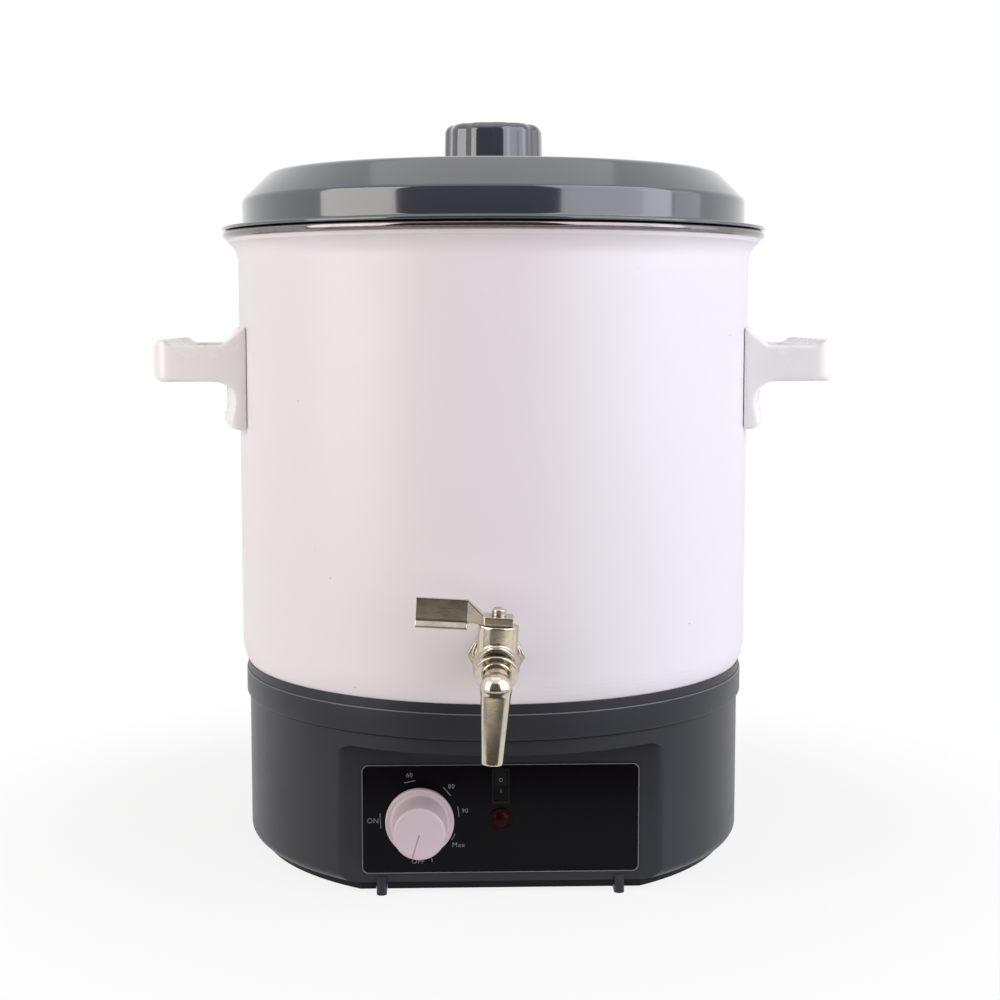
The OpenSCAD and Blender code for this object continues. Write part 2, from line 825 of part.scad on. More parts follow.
module switch_rocker() {
    pin_l = switch_case_w - 0.4;
    front = rocker_reach;
    color([0.02, 0.02, 0.02])
        on_panel(0, switch_z)
            translate([0, -panel_t + rocker_pivot, 0])
                rotate([-rocker_tilt, 0, 0])
                    union() {
                        rotate([90, 0, 90])
                            linear_extrude(height = rocker_w, center = true)
                                polygon([
                                    [2, -rocker_half_h + 0.6], [-front, -rocker_half_h], [-front + 1.1, 0],
                                    [-front, rocker_half_h], [2, rocker_half_h - 0.6], [5, 0]
                                ]);
                        rod_x(rocker_pin_r, -pin_l / 2, pin_l / 2);
                    }
}

module lamp_body() {
    color([0.12, 0.02, 0.02])
        on_panel(0, lamp_z)
            difference() {
                union() {
                    rod_y(lamp_r + lamp_rim_w, -panel_t - 1.4, -panel_t);
                    rod_y(lamp_r, -panel_t - eps, base_wall + 14);
                }
                rod_y(lamp_r - lamp_wall, -panel_t - 2, base_wall + 2);
            }
}

module lamp_lens() {
    dome = 2.8;
    dome_r = 9;
    seat = lamp_r - lamp_wall - run_gap;
    color([0.4, 0.03, 0.03])
        on_panel(0, lamp_z)
            intersection() {
                rod_y(seat, -panel_t - dome, base_wall + 1);
                translate([0, dome_r - panel_t - dome, 0])
                    sphere(r = dome_r);
            }
}

// ---- Heater and clamp ----

module heater_plate() {
    color([0.78, 0.78, 0.8])
        translate([0, 0, heater_z])
            difference() {
                cylinder(r = heater_r, h = heater_t);
                translate([0, 0, -1])
                    cylinder(r = stud_r + 1, h = heater_t + 2);
            }
}

module heating_element() {
    leg_l = element_z - shield_z + 12;
    gap_half_w = element_ring_r * tan(element_leg_angle);
    color([0.35, 0.33, 0.32])
        translate([0, 0, element_z]) {
            difference() {
                rotate_extrude()
                    translate([element_ring_r, 0])
                        circle(r = element_r, $fn = 48);
                // The ring is open between its two legs
                translate([0, 0, -element_r - 1])
                    linear_extrude(height = 2 * element_r + 2)
                        polygon([
                            [0, 0], [2 * gap_half_w, 2 * element_ring_r],
                            [-2 * gap_half_w, 2 * element_ring_r]
                        ]);
            }
            for (side = [-1, 1])
                rotate(90 + side * element_leg_angle)
                    translate([element_ring_r, 0, -leg_l])
                        cylinder(r = element_r + 0.4, h = leg_l + element_r);
        }
}

module heat_shield() {
    flange_r = spigot_r - spigot_t - fit_gap;
    top = shield_z + shield_h;
    color([0.7, 0.71, 0.73])
        difference() {
            rotate_extrude()
                polygon([
                    [0, shield_z], [shield_r, shield_z], [shield_r, top - shield_t],
                    [flange_r, top - shield_t], [flange_r, top], [shield_r - shield_t, top],
                    [shield_r - shield_t, shield_z + shield_t], [0, shield_z + shield_t]
                ]);
            translate([0, 0, shield_z - 1])
                cylinder(r = stud_r + 0.5, h = shield_t + 2);
            for (side = [-1, 1])
                rotate(90 + side * element_leg_angle)
                    translate([element_ring_r, 0, shield_z - 1])
                        cylinder(r = element_r + 0.9, h = shield_t + 2);
            translate([-capillary_x, -bulb_y, shield_z - 1])
                cylinder(r = capillary_r + 1, h = shield_t + 2);
        }
}

module thermal_cutout() {
    cutout_r = 8;
    color([0.15, 0.15, 0.16])
        translate([60, 0, shield_z]) {
            translate([0, 0, -9])
                cylinder(r = cutout_r, h = 9);
            translate([-15, -5, -1.2])
                cube([30, 10, 1.2]);
            for (side = [-1, 1])
                translate([side * 4 - 0.5, -3, -17])
                    cube([1, 6, 9]);
        }
}

module clamp_stud() {
    color([0.8, 0.8, 0.82])
        translate([0, 0, pot_z - stud_l])
            cylinder(r = stud_r, h = stud_l);
}

module clamp_nut() {
    nut_h = 6.5;
    color([0.8, 0.8, 0.82])
        translate([0, 0, shield_z - nut_h])
            difference() {
                cylinder(r = 2 * stud_r, h = nut_h, $fn = 6);
                translate([0, 0, -1])
                    cylinder(r = stud_r + run_gap, h = nut_h + 2);
            }
}

// ---- Pot ----

module pot_seal() {
    color([0.1, 0.1, 0.1])
        rotate_extrude()
            translate([seal_ring_r, seal_z])
                circle(r = seal_r, $fn = 48);
}

// Outer line of the pot from its axis to its mouth, brought in by d
function pot_line(d) = concat(
    [[0, pot_z + d], [pot_r - pot_corner_r, pot_z + d]],
    arc([pot_r - pot_corner_r, corner_z], pot_corner_r - d, -84, 0),
    [[pot_r - d, flare_z]],
    arc([pot_r - d + flare_h, flare_z], flare_h, 180, 180 - flare_angle),
    [[rim_ring_r - d / 2, mouth_z]]
);
module pot() {
    color([0.95, 0.93, 0.95])
        difference() {
            rotate_extrude()
                polygon(concat(pot_line(0), reverse_list(pot_line(pot_wall))));
            tap_frame()
                rod_y(inlet_r + fit_gap, -10, 20);
            for (side = [-1, 1])
                for (y = [-1, 1])
                    translate([0, y * handle_screw_y, handle_screw_z])
                        rod_x(handle_screw_r + 0.2, min(side * pot_r * 0.9, side * pot_r * 1.1),
                            max(side * pot_r * 0.9, side * pot_r * 1.1));
        }
}

module rim_ring() {
    color([0.35, 0.33, 0.33])
        rotate_extrude()
            translate([rim_ring_r, rim_z])
                circle(r = rim_r, $fn = 48);
}

// Side view of a handle's arms and grip, x from the pot's axis and z up
module arm_profile() {
    low = handle_z + grip_rise;
    high = low + grip_h;
    lip_top_z = high + grip_lip_h;
    root_top_z = high + root_rise;
    foot_x = pot_r + root_foot_w;
    polygon(concat(
        [[handle_root_x, low - brace_r]],
        arc([pot_r - brace_in + brace_r, low - brace_r], brace_r, 180, 90),
        arc([handle_end_x - grip_low_r, low + grip_low_r], grip_low_r, -90, 0),
        arc([handle_end_x - grip_top_r, lip_top_z - grip_top_r], grip_top_r, 0, 90),
        [[handle_end_x - grip_lip_w, lip_top_z], [handle_end_x - grip_lip_w - grip_lip_slope, high]],
        [[foot_x, high], [foot_x - root_slope, root_top_z], [handle_root_x, root_top_z]]
    ));
}

// Section of the plate that hugs the wall, with a thicker tab below
module wall_plate_section() {
    high = handle_z + grip_rise + grip_h;
    plate_out_r = pot_r + handle_plate_d;
    neck_z = handle_z + neck_rise;
    polygon([
        [pot_r - plate_in, handle_z], [pot_r + tab_t - tab_r, handle_z],
        [pot_r + tab_t, handle_z + tab_r], [pot_r + tab_t, handle_z + tab_flat],
        [pot_r + neck_t, neck_z], [plate_out_r, neck_z + tab_r],
        [plate_out_r, high], [pot_r + root_t, high + root_rise], [pot_r - plate_in, high + root_rise]
    ]);
}

// A handle on the +X side: a loop of two arms and a grip bar, on a plate that hugs the wall
module handle() {
    slot_w = handle_w - 2 * arm_w;
    slot_x0 = handle_root_x - 1;
    slot_x1 = handle_end_x - grip_d;
    difference() {
        intersection() {
            union() {
                difference() {
                    translate([0, handle_w / 2, 0])
                        rotate([90, 0, 0])
                            linear_extrude(height = handle_w)
                                arm_profile();
                    // Gap for the fingers, between the plate and the grip
                    translate([slot_x0, -slot_w / 2, handle_z - 1])
                        cube([slot_x1 - slot_x0, slot_w, handle_h + 2]);
                }
                rotate_extrude($fn = 180)
                    wall_plate_section();
            }
            translate([handle_end_x / 2, 0, handle_z - 1])
                linear_extrude(height = handle_h + 2)
                    rounded_rect(handle_end_x, handle_w, handle_corner_r);
        }
        // Back of the plate, curved to fit the pot's wall
        translate([0, 0, handle_z - 1])
            cylinder(r = pot_r + touch_gap, h = handle_h + 2, $fn = 180);
        for (y = [-1, 1])
            translate([0, y * handle_screw_y, handle_screw_z])
                rod_x(handle_screw_r + touch_gap, pot_r - 10, handle_screw_x);
    }
}

module handle_left() {
    color([0.95, 0.94, 0.94])
        mirror([1, 0, 0])
            handle();
}

module handle_right() {
    color([0.95, 0.94, 0.94])
        handle();
}

module handle_screws() {
    head_reach = handle_head_r + 0.4;
    head_x = sqrt(pow(pot_r - pot_wall, 2) - pow(handle_screw_y + head_reach, 2)) - touch_gap;
    color([0.8, 0.8, 0.82])
        for (side = [-1, 1])
            for (y = [-1, 1])
                translate([0, y * handle_screw_y, handle_screw_z])
                    rotate([0, 0, side == 1 ? 0 : 180]) {
                        rod_x(handle_head_r, head_x - 2.5, head_x);
                        rod_x(handle_screw_r, head_x - eps, handle_screw_x - 1);
                    }
}

// ---- Tap ----

// Tap's own frame: the inlet's axis at the pot's wall, leaning sideways, outwards is -Y
module tap_frame() {
    rotate([0, 0, -tap_turn])
        translate([0, -pot_r, tap_z])
            rotate([0, tap_lean, 0])
                children();
}

// Children's +Z runs outwards and down the tilted outlet, from the body's front face
module outlet_frame() {
    translate([0, -plane_reach, -plane_drop])
        rotate([90 + outlet_tilt, 0, 0])
            children();
}

module tap_seal_outer() {
    color([0.75, 0.76, 0.76])
        difference() {
            tap_frame()
                rod_y(inlet_r + 7, -tap_seal_t, 4);
            cylinder(r = pot_r + 0.05, h = 2 * tap_z, $fn = 180);
            tap_frame()
                rod_y(inlet_r + 0.1, -tap_seal_t - 1, 5);
        }
}

module tap_seal_inner() {
    inner = pot_wall + tap_seal_t + 1;
    color([0.75, 0.76, 0.76])
        difference() {
            intersection() {
                tap_frame()
                    rod_y(inlet_r + 6, 0, inner);
                cylinder(r = pot_r - pot_wall - 0.05, h = 2 * tap_z, $fn = 180);
            }
            tap_frame()
                rod_y(inlet_r + 0.1, -1, inner + 1);
        }
}

module tap_back_nut() {
    start = pot_wall + tap_seal_t + 1 + 0.05;
    color([0.78, 0.76, 0.7])
        tap_frame()
            difference() {
                hex_y(nut_af - 3, start, start + 6);
                rod_y(inlet_r + run_gap, start - 1, start + 7);
            }
}

module tap_hex_nut() {
    color([0.78, 0.76, 0.7])
        tap_frame()
            difference() {
                intersection() {
                    hex_y(nut_af, -tap_seal_t - nut_t, -tap_seal_t);
                    translate([0, -tap_seal_t - nut_t / 2, 0])
                        sphere(r = nut_af / 2 + 2.6);
                }
                rod_y(inlet_r + run_gap, -tap_seal_t - nut_t - 1, 0);
            }
}

module tap_body() {
    collar_y = tap_seal_t + nut_t + 0.1;
    color([0.78, 0.76, 0.7])
        tap_frame()
            difference() {
                union() {
                    rod_y(inlet_r, -collar_y - 2, inlet_in_l);
                    rod_y(nut_af / 2 - 0.6, -collar_y - 2.4, -collar_y);
                    translate([0, -ball_reach, -3])
                        sphere(r = chamber_r);
                    translate([0, 0, -1])
                        rod_y(cavity_r + 2.6, -plane_reach - 8, -ball_reach);
                    translate([0, -ball_reach, 0])
                        cylinder(r = bonnet_r, h = bonnet_h);
                }
                // Sloping front face that the union ring closes
                outlet_frame()
                    translate([-40, -40, 0])
                        cube([80, 80, 60]);
                rod_y(way_r, -ball_reach, inlet_in_l + 1);
                rod_y(cavity_r, -plane_reach - 20, -ball_reach + seat_reach);
                translate([0, -ball_reach, 0]) {
                    cylinder(r = stem_r + run_gap, h = bonnet_h + 1);
                    translate([0, 0, bonnet_h - packing_h])
                        cylinder(r = packing_r, h = packing_h + 1);
                }
            }
}

module tap_spout() {
    mouth = spout_l - spout_drop;
    outlet_l = norm([spout_reach - plane_reach, spout_drop - plane_drop]);
    knuckle_r = spout_r1 + 0.35;
    color([0.78, 0.76, 0.7])
        tap_frame()
            difference() {
                union() {
                    rod_y(cavity_r - 0.1, -plane_reach - 3, -ball_reach - seat_reach - 0.05);
                    outlet_frame() {
                        cylinder(r = union_r, h = union_t);
                        cylinder(r = spout_r1 - 0.5, h = outlet_l);
                    }
                    translate([0, -spout_reach, -spout_drop]) {
                        sphere(r = knuckle_r);
                        translate([0, 0, -mouth])
                            cylinder(r1 = spout_r2, r2 = spout_r1, h = mouth);
                    }
                }
                rod_y(way_r, -plane_reach - 3, -ball_reach);
                outlet_frame()
                    translate([0, 0, 2])
                        cylinder(r = way_r - 0.2, h = outlet_l);
                translate([0, -spout_reach, -spout_l - 1])
                    cylinder(r = way_r, h = mouth + 3);
            }
}

module tap_seats() {
    color([0.95, 0.95, 0.93])
        tap_frame()
            translate([0, -ball_reach, 0])
                for (side = [0, 180])
                    rotate(side)
                        difference() {
                            rod_y(seat_ring_out_r, ball_r - tang_d + 0.4, seat_reach - 0.05);
                            sphere(r = ball_r + 0.05);
                            rod_y(way_r, 0, seat_reach + 1);
                        }
}

module tap_packing() {
    color([0.95, 0.95, 0.93])
        tap_frame()
            translate([0, -ball_reach, bonnet_h - packing_h])
                difference() {
                    cylinder(r = packing_r - 0.1, h = packing_h - 0.1);
                    translate([0, 0, -1])
                        cylinder(r = stem_r + run_gap, h = packing_h + 2);
                }
}

module tap_ball() {
    color([0.85, 0.85, 0.86])
        tap_frame()
            translate([0, -ball_reach, 0])
                difference() {
                    sphere(r = ball_r);
                    rod_x(way_r, -ball_r - 1, ball_r + 1);
                    translate([-ball_r, -tang_w / 2 - 0.1, ball_r - tang_d])
                        cube([2 * ball_r, tang_w + 0.2, tang_d + 1]);
                }
}

module tap_stem() {
    tang_low = ball_r - tang_d + 0.1;
    color([0.85, 0.85, 0.86])
        tap_frame()
            translate([0, -ball_reach, 0])
                difference() {
                    union() {
                        intersection() {
                            translate([-stem_r, -tang_w / 2, tang_low])
                                cube([2 * stem_r, tang_w, tang_d + 2]);
                            cylinder(r = stem_r, h = 2 * bonnet_h);
                        }
                        translate([0, 0, ball_r + 0.1])
                            cylinder(r = stem_r, h = bonnet_h + 0.1 - ball_r);
                        translate([-stem_square / 2, -stem_square / 2, bonnet_h])
                            cube([stem_square, stem_square, hub_t]);
                    }
                    translate([0, 0, bonnet_h - 8])
                        cylinder(r = screw_r + run_gap, h = hub_t + 12);
                }
}

// Upright plate of the lever, its lower edge bent forwards, along X
module paddle_strip(l) {
    bend = 4;
    rotate([90, 0, 90])
        linear_extrude(height = l)
            polygon([
                [0, paddle_h], [-paddle_t, paddle_h], [-paddle_t, bend + 1], [-paddle_t - 2.4, 1],
                [-2.4, 0], [0, bend]
            ]);
}

module tap_lever() {
    low = hub_z - 4.5;
    color([0.78, 0.76, 0.7])
        tap_frame()
            translate([0, -ball_reach, 0])
                difference() {
                    union() {
                        translate([-hub_w / 2, -hub_w / 2, hub_z])
                            cube([hub_w, hub_w, hub_t]);
                        translate([-paddle_x2, paddle_t / 2, low])
                            paddle_strip(paddle_x2 - paddle_x1);
                        // Neck that turns from the flat hub to the upright paddle
                        hull() {
                            translate([-hub_w / 2 - 0.5, -hub_w / 3, hub_z])
                                cube([1, hub_w / 1.5, hub_t]);
                            translate([-paddle_x1 - 1, -paddle_t / 2, hub_z])
                                cube([1, paddle_t, low + paddle_h - hub_z]);
                        }
                    }
                    translate([-stem_square / 2 - 0.1, -stem_square / 2 - 0.1, hub_z - 1])
                        cube([stem_square + 0.2, stem_square + 0.2, hub_t + 2]);
                }
}

module tap_lever_screw() {
    head_r = 4.35;
    head_h = 5.5;
    color([0.78, 0.76, 0.7])
        tap_frame()
            translate([0, -ball_reach, 0]) {
                translate([0, 0, hub_top])
                    difference() {
                        intersection() {
                            cylinder(r = head_r, h = head_h);
                            translate([0, 0, head_h - 6])
                                sphere(r = 6);
                        }
                        translate([-head_r, -0.6, head_h - 1.6])
                            cube([2 * head_r, 1.2, 2]);
                    }
                translate([0, 0, bonnet_h - 6])
                    cylinder(r = screw_r, h = hub_t + 6.5);
            }
}

// ---- Lid ----

// Outer line of the lid above its flange, brought in by d
function lid_line(d) = concat(
    [[lid_wall_r - d, lid_z + lid_flange_t]],
    [[lid_wall_r - d, wall_top - d / 2]],
    [[lid_crown_r - d / 2, crown_z - d]],
    [for (i = [1:8]) [lid_crown_r * (1 - i / 8), crown_z - d + lid_dome_h * (1 - pow(1 - i / 8, 2))]]
);

module lid_shell() {
    color([0.42, 0.43, 0.5])
        difference() {
            rotate_extrude()
                polygon(concat(
                    [[lid_in_r, lid_z - lid_skirt_h], [lid_in_r, lid_z], [lid_r - 1, lid_z]],
                    [[lid_r, lid_z + 0.6], [lid_r, lid_z + lid_flange_t - 0.6]],
                    [[lid_r - 1, lid_z + lid_flange_t]],
                    lid_line(0),
                    reverse_list(lid_line(lid_t)),
                    [[lid_in_r - lid_t, lid_z + lid_flange_t], [lid_in_r - lid_t, lid_z - lid_skirt_h]]
                ));
            translate([0, 0, washer_z])
                cylinder(r = screw_r + 0.6, h = 2 * knob_h);
        }
}

module lid_knob() {
    knob_wall = 3.5;
    flute_r = 13;
    color([0.42, 0.43, 0.5])
        translate([0, 0, knob_z])
            difference() {
                rotate_extrude()
                    polygon(concat(
                        [[0, 0], [knob_r, 0]],
                        arc([knob_r - knob_edge_r - 1, knob_h - knob_edge_r - 1], knob_edge_r, 4, 84),
                        [[0, knob_h]]
                    ));
                for (i = [0:knob_flutes - 1])
                    rotate(7 + (i + 0.5) * 360 / knob_flutes)
                        translate([knob_r + flute_r - knob_flute_d, 0, -1])
                            cylinder(r = flute_r, h = knob_h + 2);
                difference() {
                    translate([0, 0, -1])
                        cylinder(r = knob_r - knob_flute_d - knob_wall, h = knob_h - 5);
                    cylinder(r = 7, h = knob_h);
                    for (a = [0, 90])
                        rotate(a)
                            translate([-knob_r, -1, 1])
                                cube([2 * knob_r, 2, knob_h]);
                }
                translate([0, 0, -1])
                    cylinder(r = screw_r + run_gap, h = 16);
            }
}

module lid_washer() {
    color([0.8, 0.8, 0.82])
        translate([0, 0, washer_z])
            difference() {
                cylinder(r = 3.5 * screw_r, h = washer_t);
                translate([0, 0, -1])
                    cylinder(r = screw_r + 2 * touch_gap, h = washer_t + 2);
            }
}

module lid_knob_screw() {
    head_h = 2.6;
    color([0.8, 0.8, 0.82])
        translate([0, 0, washer_z - head_h]) {
            cylinder(r = 2 * screw_r, h = head_h);
            cylinder(r = screw_r, h = 18);
        }
}

base_housing();
base_collar();
bottom_plate();
bottom_screws();
feet();
cord_gland();
gland_nut();
terminal_block();
control_panel();
thermostat_body();
thermostat_nut();
sensor_bulb();
switch_body();
switch_rocker();
lamp_body();
lamp_lens();
heater_plate();
heating_element();
heat_shield();
thermal_cutout();
clamp_stud();
clamp_nut();
pot_seal();
pot();
rim_ring();
handle_left();
handle_right();
handle_screws();
tap_seal_outer();
tap_seal_inner();
tap_hex_nut();
tap_back_nut();
tap_body();
tap_spout();
tap_seats();
tap_packing();
tap_ball();
tap_stem();
tap_lever();
tap_lever_screw();
lid_shell();
lid_knob();
lid_knob_screw();
lid_washer();
dial_knob();
dial_spindle();
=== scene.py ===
"""Candle wax melter: finishes, moulded shells, printed marks, studio stage and camera."""
import json
import math

import bmesh
import bpy
import numpy as np
from bpy.props import FloatProperty, FloatVectorProperty, PointerProperty
from mathutils import Euler, Matrix, Vector


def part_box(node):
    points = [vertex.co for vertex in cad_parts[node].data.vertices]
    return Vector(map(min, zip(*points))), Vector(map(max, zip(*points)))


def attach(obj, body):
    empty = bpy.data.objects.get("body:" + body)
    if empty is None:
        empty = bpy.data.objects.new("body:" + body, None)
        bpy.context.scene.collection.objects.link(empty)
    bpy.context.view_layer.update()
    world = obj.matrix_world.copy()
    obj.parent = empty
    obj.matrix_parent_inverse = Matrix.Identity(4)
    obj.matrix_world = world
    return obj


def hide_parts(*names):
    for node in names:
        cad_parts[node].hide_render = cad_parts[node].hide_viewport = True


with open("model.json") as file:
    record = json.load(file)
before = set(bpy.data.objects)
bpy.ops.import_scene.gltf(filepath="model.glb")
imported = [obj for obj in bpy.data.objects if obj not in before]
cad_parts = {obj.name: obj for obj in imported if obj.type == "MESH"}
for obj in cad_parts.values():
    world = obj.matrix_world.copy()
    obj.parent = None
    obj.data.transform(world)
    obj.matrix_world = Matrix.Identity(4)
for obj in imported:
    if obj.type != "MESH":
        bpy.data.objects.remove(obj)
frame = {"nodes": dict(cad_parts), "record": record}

bl_info = {
    "name": "Wax melter",
    "version": (1, 0, 0),
    "blender": (4, 5, 0),
    "location": "3D View > Sidebar > Wax melter",
    "description": "Finishes, moulded shells, printed marks and stage of a candle wax melter",
    "category": "Object",
}

MM = 0.001
# Points of a turned piece round its axis
ROUND_STEPS = 320
# Distances in metres within which two points of a mesh are one: in a new surface, and in a CAD
# node's loose triangles
SEAM_GAP, LOOSE_GAP = 1e-7, 1e-6
# The middle of a printed word's thickness stands this far in front of the face under it
PRINT_LIFT = 0.04 * MM
# Refractive index of plastic, enamel and glass
REFRACTION = 1.5


def linear(red, green, blue):
    """A screen colour of 0 to 255 as linear light."""
    screen = np.array([red, green, blue]) / 255
    light = np.where(screen <= 0.04045, screen / 12.92, ((screen + 0.055) / 1.055) ** 2.4)
    return tuple(float(v) for v in light)


def colour(name, description, screen):
    """A colour setting, its default given as a screen colour."""
    return FloatVectorProperty(name=name, description=description, default=linear(*screen),
                               subtype="COLOR", min=0, max=1)


def length(name, description, millimetres):
    """A length setting, its default given in millimetres."""
    return FloatProperty(name=name, description=description, default=millimetres * MM,
                         unit="LENGTH", min=0)


# ---- Settings ----

class MelterColours(bpy.types.PropertyGroup):
    """Colours of the melter's finishes."""
    housing: colour("Housing", "Dark grey of the moulded base", (42, 43, 50))
    lid: colour("Lid", "Slate blue grey of the lid and its knob", (53, 57, 68))
    enamel: colour("Enamel", "Faintly rosy white of the pot's enamel", (240, 234, 240))
    handle: colour("Handles", "White of the side handles", (243, 240, 242))
    dial: colour("Dial", "Pale rosy grey of the thermostat's dial", (208, 190, 198))
    nickel: colour("Tap", "Warm grey of the nickel plated tap", (210, 201, 184))
    rim: colour("Rim", "Polished steel of the pot's rim", (138, 131, 131))
    panel: colour("Panel", "Black of the control panel", (6, 4, 8))
    print_white: colour("Marks", "Grey of the printed marks", (122, 121, 127))
    lamp: colour("Lamp", "Dark red of the indicator lamp", (30, 2, 3))


class MelterSizes(bpy.types.PropertyGroup):
    """Sizes of the lid's shell and of the scale's ticks."""
    wall_r: length("Lid wall", "Outer radius of the lid's upright wall", 174.4)
    crown_r: length("Lid crown", "Radius of the lid's crown inside its slope", 155.5)
    lid_t: length("Lid thickness", "Thickness of the lid", 2.4)
    stroke: length("Ticks", "Width of the dial scale's ticks", 0.5)


class MelterStage(bpy.types.PropertyGroup):
    """Lights and camera."""
    right: FloatProperty(name="Right light",
                         description="Radiance of the large light on the right",
                         default=2.6, min=0)
    left: FloatProperty(name="Left light",
                        description="Radiance of the narrower light on the left",
                        default=3.5, min=0)
    side: FloatProperty(name="Side light", description="Radiance of the light far on the right",
                        default=0.8, min=0)
    top: FloatProperty(name="Top light", description="Radiance of the light overhead",
                       default=0.5, min=0)
    ambient: FloatProperty(name="Ambient", description="Level of the light from all round",
                           default=0.06, min=0)
    distance: length("Camera distance", "From the pot's axis to the camera", 1216)
    height: length("Camera height", "Height of the camera over the floor", 373)
    lens: FloatProperty(name="Lens", description="Focal length", default=61.8, unit="CAMERA")


# ---- Meshes ----

def put_mesh(name, points, faces, smooth_angle=35):
    """A mesh object from an array of points (n, 3) and an array of faces (m, 3 or 4)."""
    mesh = bpy.data.meshes.new(name)
    points = np.asarray(points, dtype=np.float32)
    faces = np.asarray(faces, dtype=np.int32)
    count, corners = faces.shape
    mesh.vertices.add(len(points))
    mesh.vertices.foreach_set("co", points.ravel())
    mesh.loops.add(count * corners)
    mesh.loops.foreach_set("vertex_index", faces.ravel())
    mesh.polygons.add(count)
    mesh.polygons.foreach_set("loop_start", np.arange(count, dtype=np.int32) * corners)
    mesh.update(calc_edges=True)
    piece = bpy.data.objects.new(name, mesh)
    bpy.context.scene.collection.objects.link(piece)
    tidy_mesh(mesh, smooth_angle)
    return piece


def tidy_mesh(mesh, smooth_angle):
    """Joins doubled points, so that seams and poles are closed, turns the faces outwards,
    and shades edges sharper than the angle as edges."""
    work = bmesh.new()
    work.from_mesh(mesh)
    bmesh.ops.remove_doubles(work, verts=work.verts, dist=SEAM_GAP)
    bmesh.ops.recalc_face_normals(work, faces=work.faces)
    work.to_mesh(mesh)
    work.free()
    mesh.shade_smooth()
    mesh.set_sharp_from_angle(angle=math.radians(smooth_angle))


def grid_faces(rows, columns, wrap_rows=False, wrap_columns=False):
    """Quads between neighbouring points of a grid that is stored row by row."""
    i = np.arange(rows if wrap_rows else rows - 1)[:, None]
    j = np.arange(columns if wrap_columns else columns - 1)[None, :]
    i2, j2 = (i + 1) % rows, (j + 1) % columns
    here, above = i * columns, i2 * columns
    return np.stack([here + j, here + j2, above + j2, above + j], axis=-1).reshape(-1, 4)


def rounded(corners, steps=8):
    """A closed line of (x, y, radius) corners with each corner replaced by an arc that touches
    both of its sides: the arc's centre lies on the corner's bisector at radius / sin(half the
    corner's angle)."""
    corners = [np.array(c, dtype=float) for c in corners]
    line = []
    threes = zip(corners[-1:] + corners[:-1], corners, corners[1:] + corners[:1])
    for before, here, after in threes:
        point, radius = here[:2], here[2]
        if radius <= 0:
            line.append(point[None, :])
            continue
        a, b = before[:2] - point, after[:2] - point
        a, b = a / np.linalg.norm(a), b / np.linalg.norm(b)
        half = math.acos(np.clip(a @ b, -1, 1)) / 2
        centre = point + (a + b) / np.linalg.norm(a + b) * radius / math.sin(half)
        start = point + a * radius / math.tan(half) - centre
        end = point + b * radius / math.tan(half) - centre
        turn = math.atan2(start[0] * end[1] - start[1] * end[0], start @ end)
        angle = math.atan2(start[1], start[0]) + turn * np.linspace(0, 1, steps + 1)
        line.append(centre + radius * np.stack([np.cos(angle), np.sin(angle)], axis=1))
    return np.concatenate(line)


def revolve(name, profile):
    """A closed line of (r, z) turned about the Z axis: x = r cos a, y = r sin a."""
    angle = np.linspace(0, 2 * math.pi, ROUND_STEPS, endpoint=False)[:, None]
    r, z = np.asarray(profile)[None, :, 0], np.asarray(profile)[None, :, 1]
    grid = np.stack([r * np.cos(angle), r * np.sin(angle), z + 0 * angle], axis=-1)
    faces = grid_faces(ROUND_STEPS, len(profile), wrap_rows=True, wrap_columns=True)
    return put_mesh(name, grid.reshape(-1, 3), faces)


def finish_piece(piece, body, finish, nodes=()):
    """Gives a piece its finish, its body and the nodes that it stands for."""
    piece.data.materials.clear()
    piece.data.materials.append(finish)
    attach(piece, body)
    if nodes:
        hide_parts(*nodes)
    return piece


def softened(name, node, voxel, passes):
    """A node's shape with its edges rounded as in a mould or a casting: its surface is laid out
    again as an even net of cells as wide as voxel, and then each point of the net moves halfway
    to its neighbours' mean, as many times over as passes says. The net is laid askew to the
    node, so that its cells don't line up with the node's flat faces."""
    askew = Euler((0.61, 0.47, 0.35)).to_matrix().to_4x4()
    mesh = frame["nodes"][node].data.copy()
    work = bmesh.new()
    work.from_mesh(mesh)
    bmesh.ops.remove_doubles(work, verts=work.verts, dist=LOOSE_GAP)
    work.to_mesh(mesh)
    work.free()
    mesh.materials.clear()
    mesh.transform(askew)
    piece = bpy.data.objects.new(name, mesh)
    bpy.context.scene.collection.objects.link(piece)
    net = piece.modifiers.new("net", "REMESH")
    net.mode = "VOXEL"
    net.voxel_size = voxel
    net.adaptivity = 0
    bake(piece)
    ease = piece.modifiers.new("ease", "SMOOTH")
    ease.factor = 0.5
    ease.iterations = passes
    bake(piece)
    piece.data.transform(askew.inverted())
    piece.data.name = name
    piece.data.shade_smooth()
    return piece


def bake(piece):
    """Turns a piece's modifiers into its mesh."""
    graph = bpy.context.evaluated_depsgraph_get()
    mesh = bpy.data.meshes.new_from_object(piece.evaluated_get(graph))
    piece.modifiers.clear()
    piece.data = mesh


# ---- Finishes ----

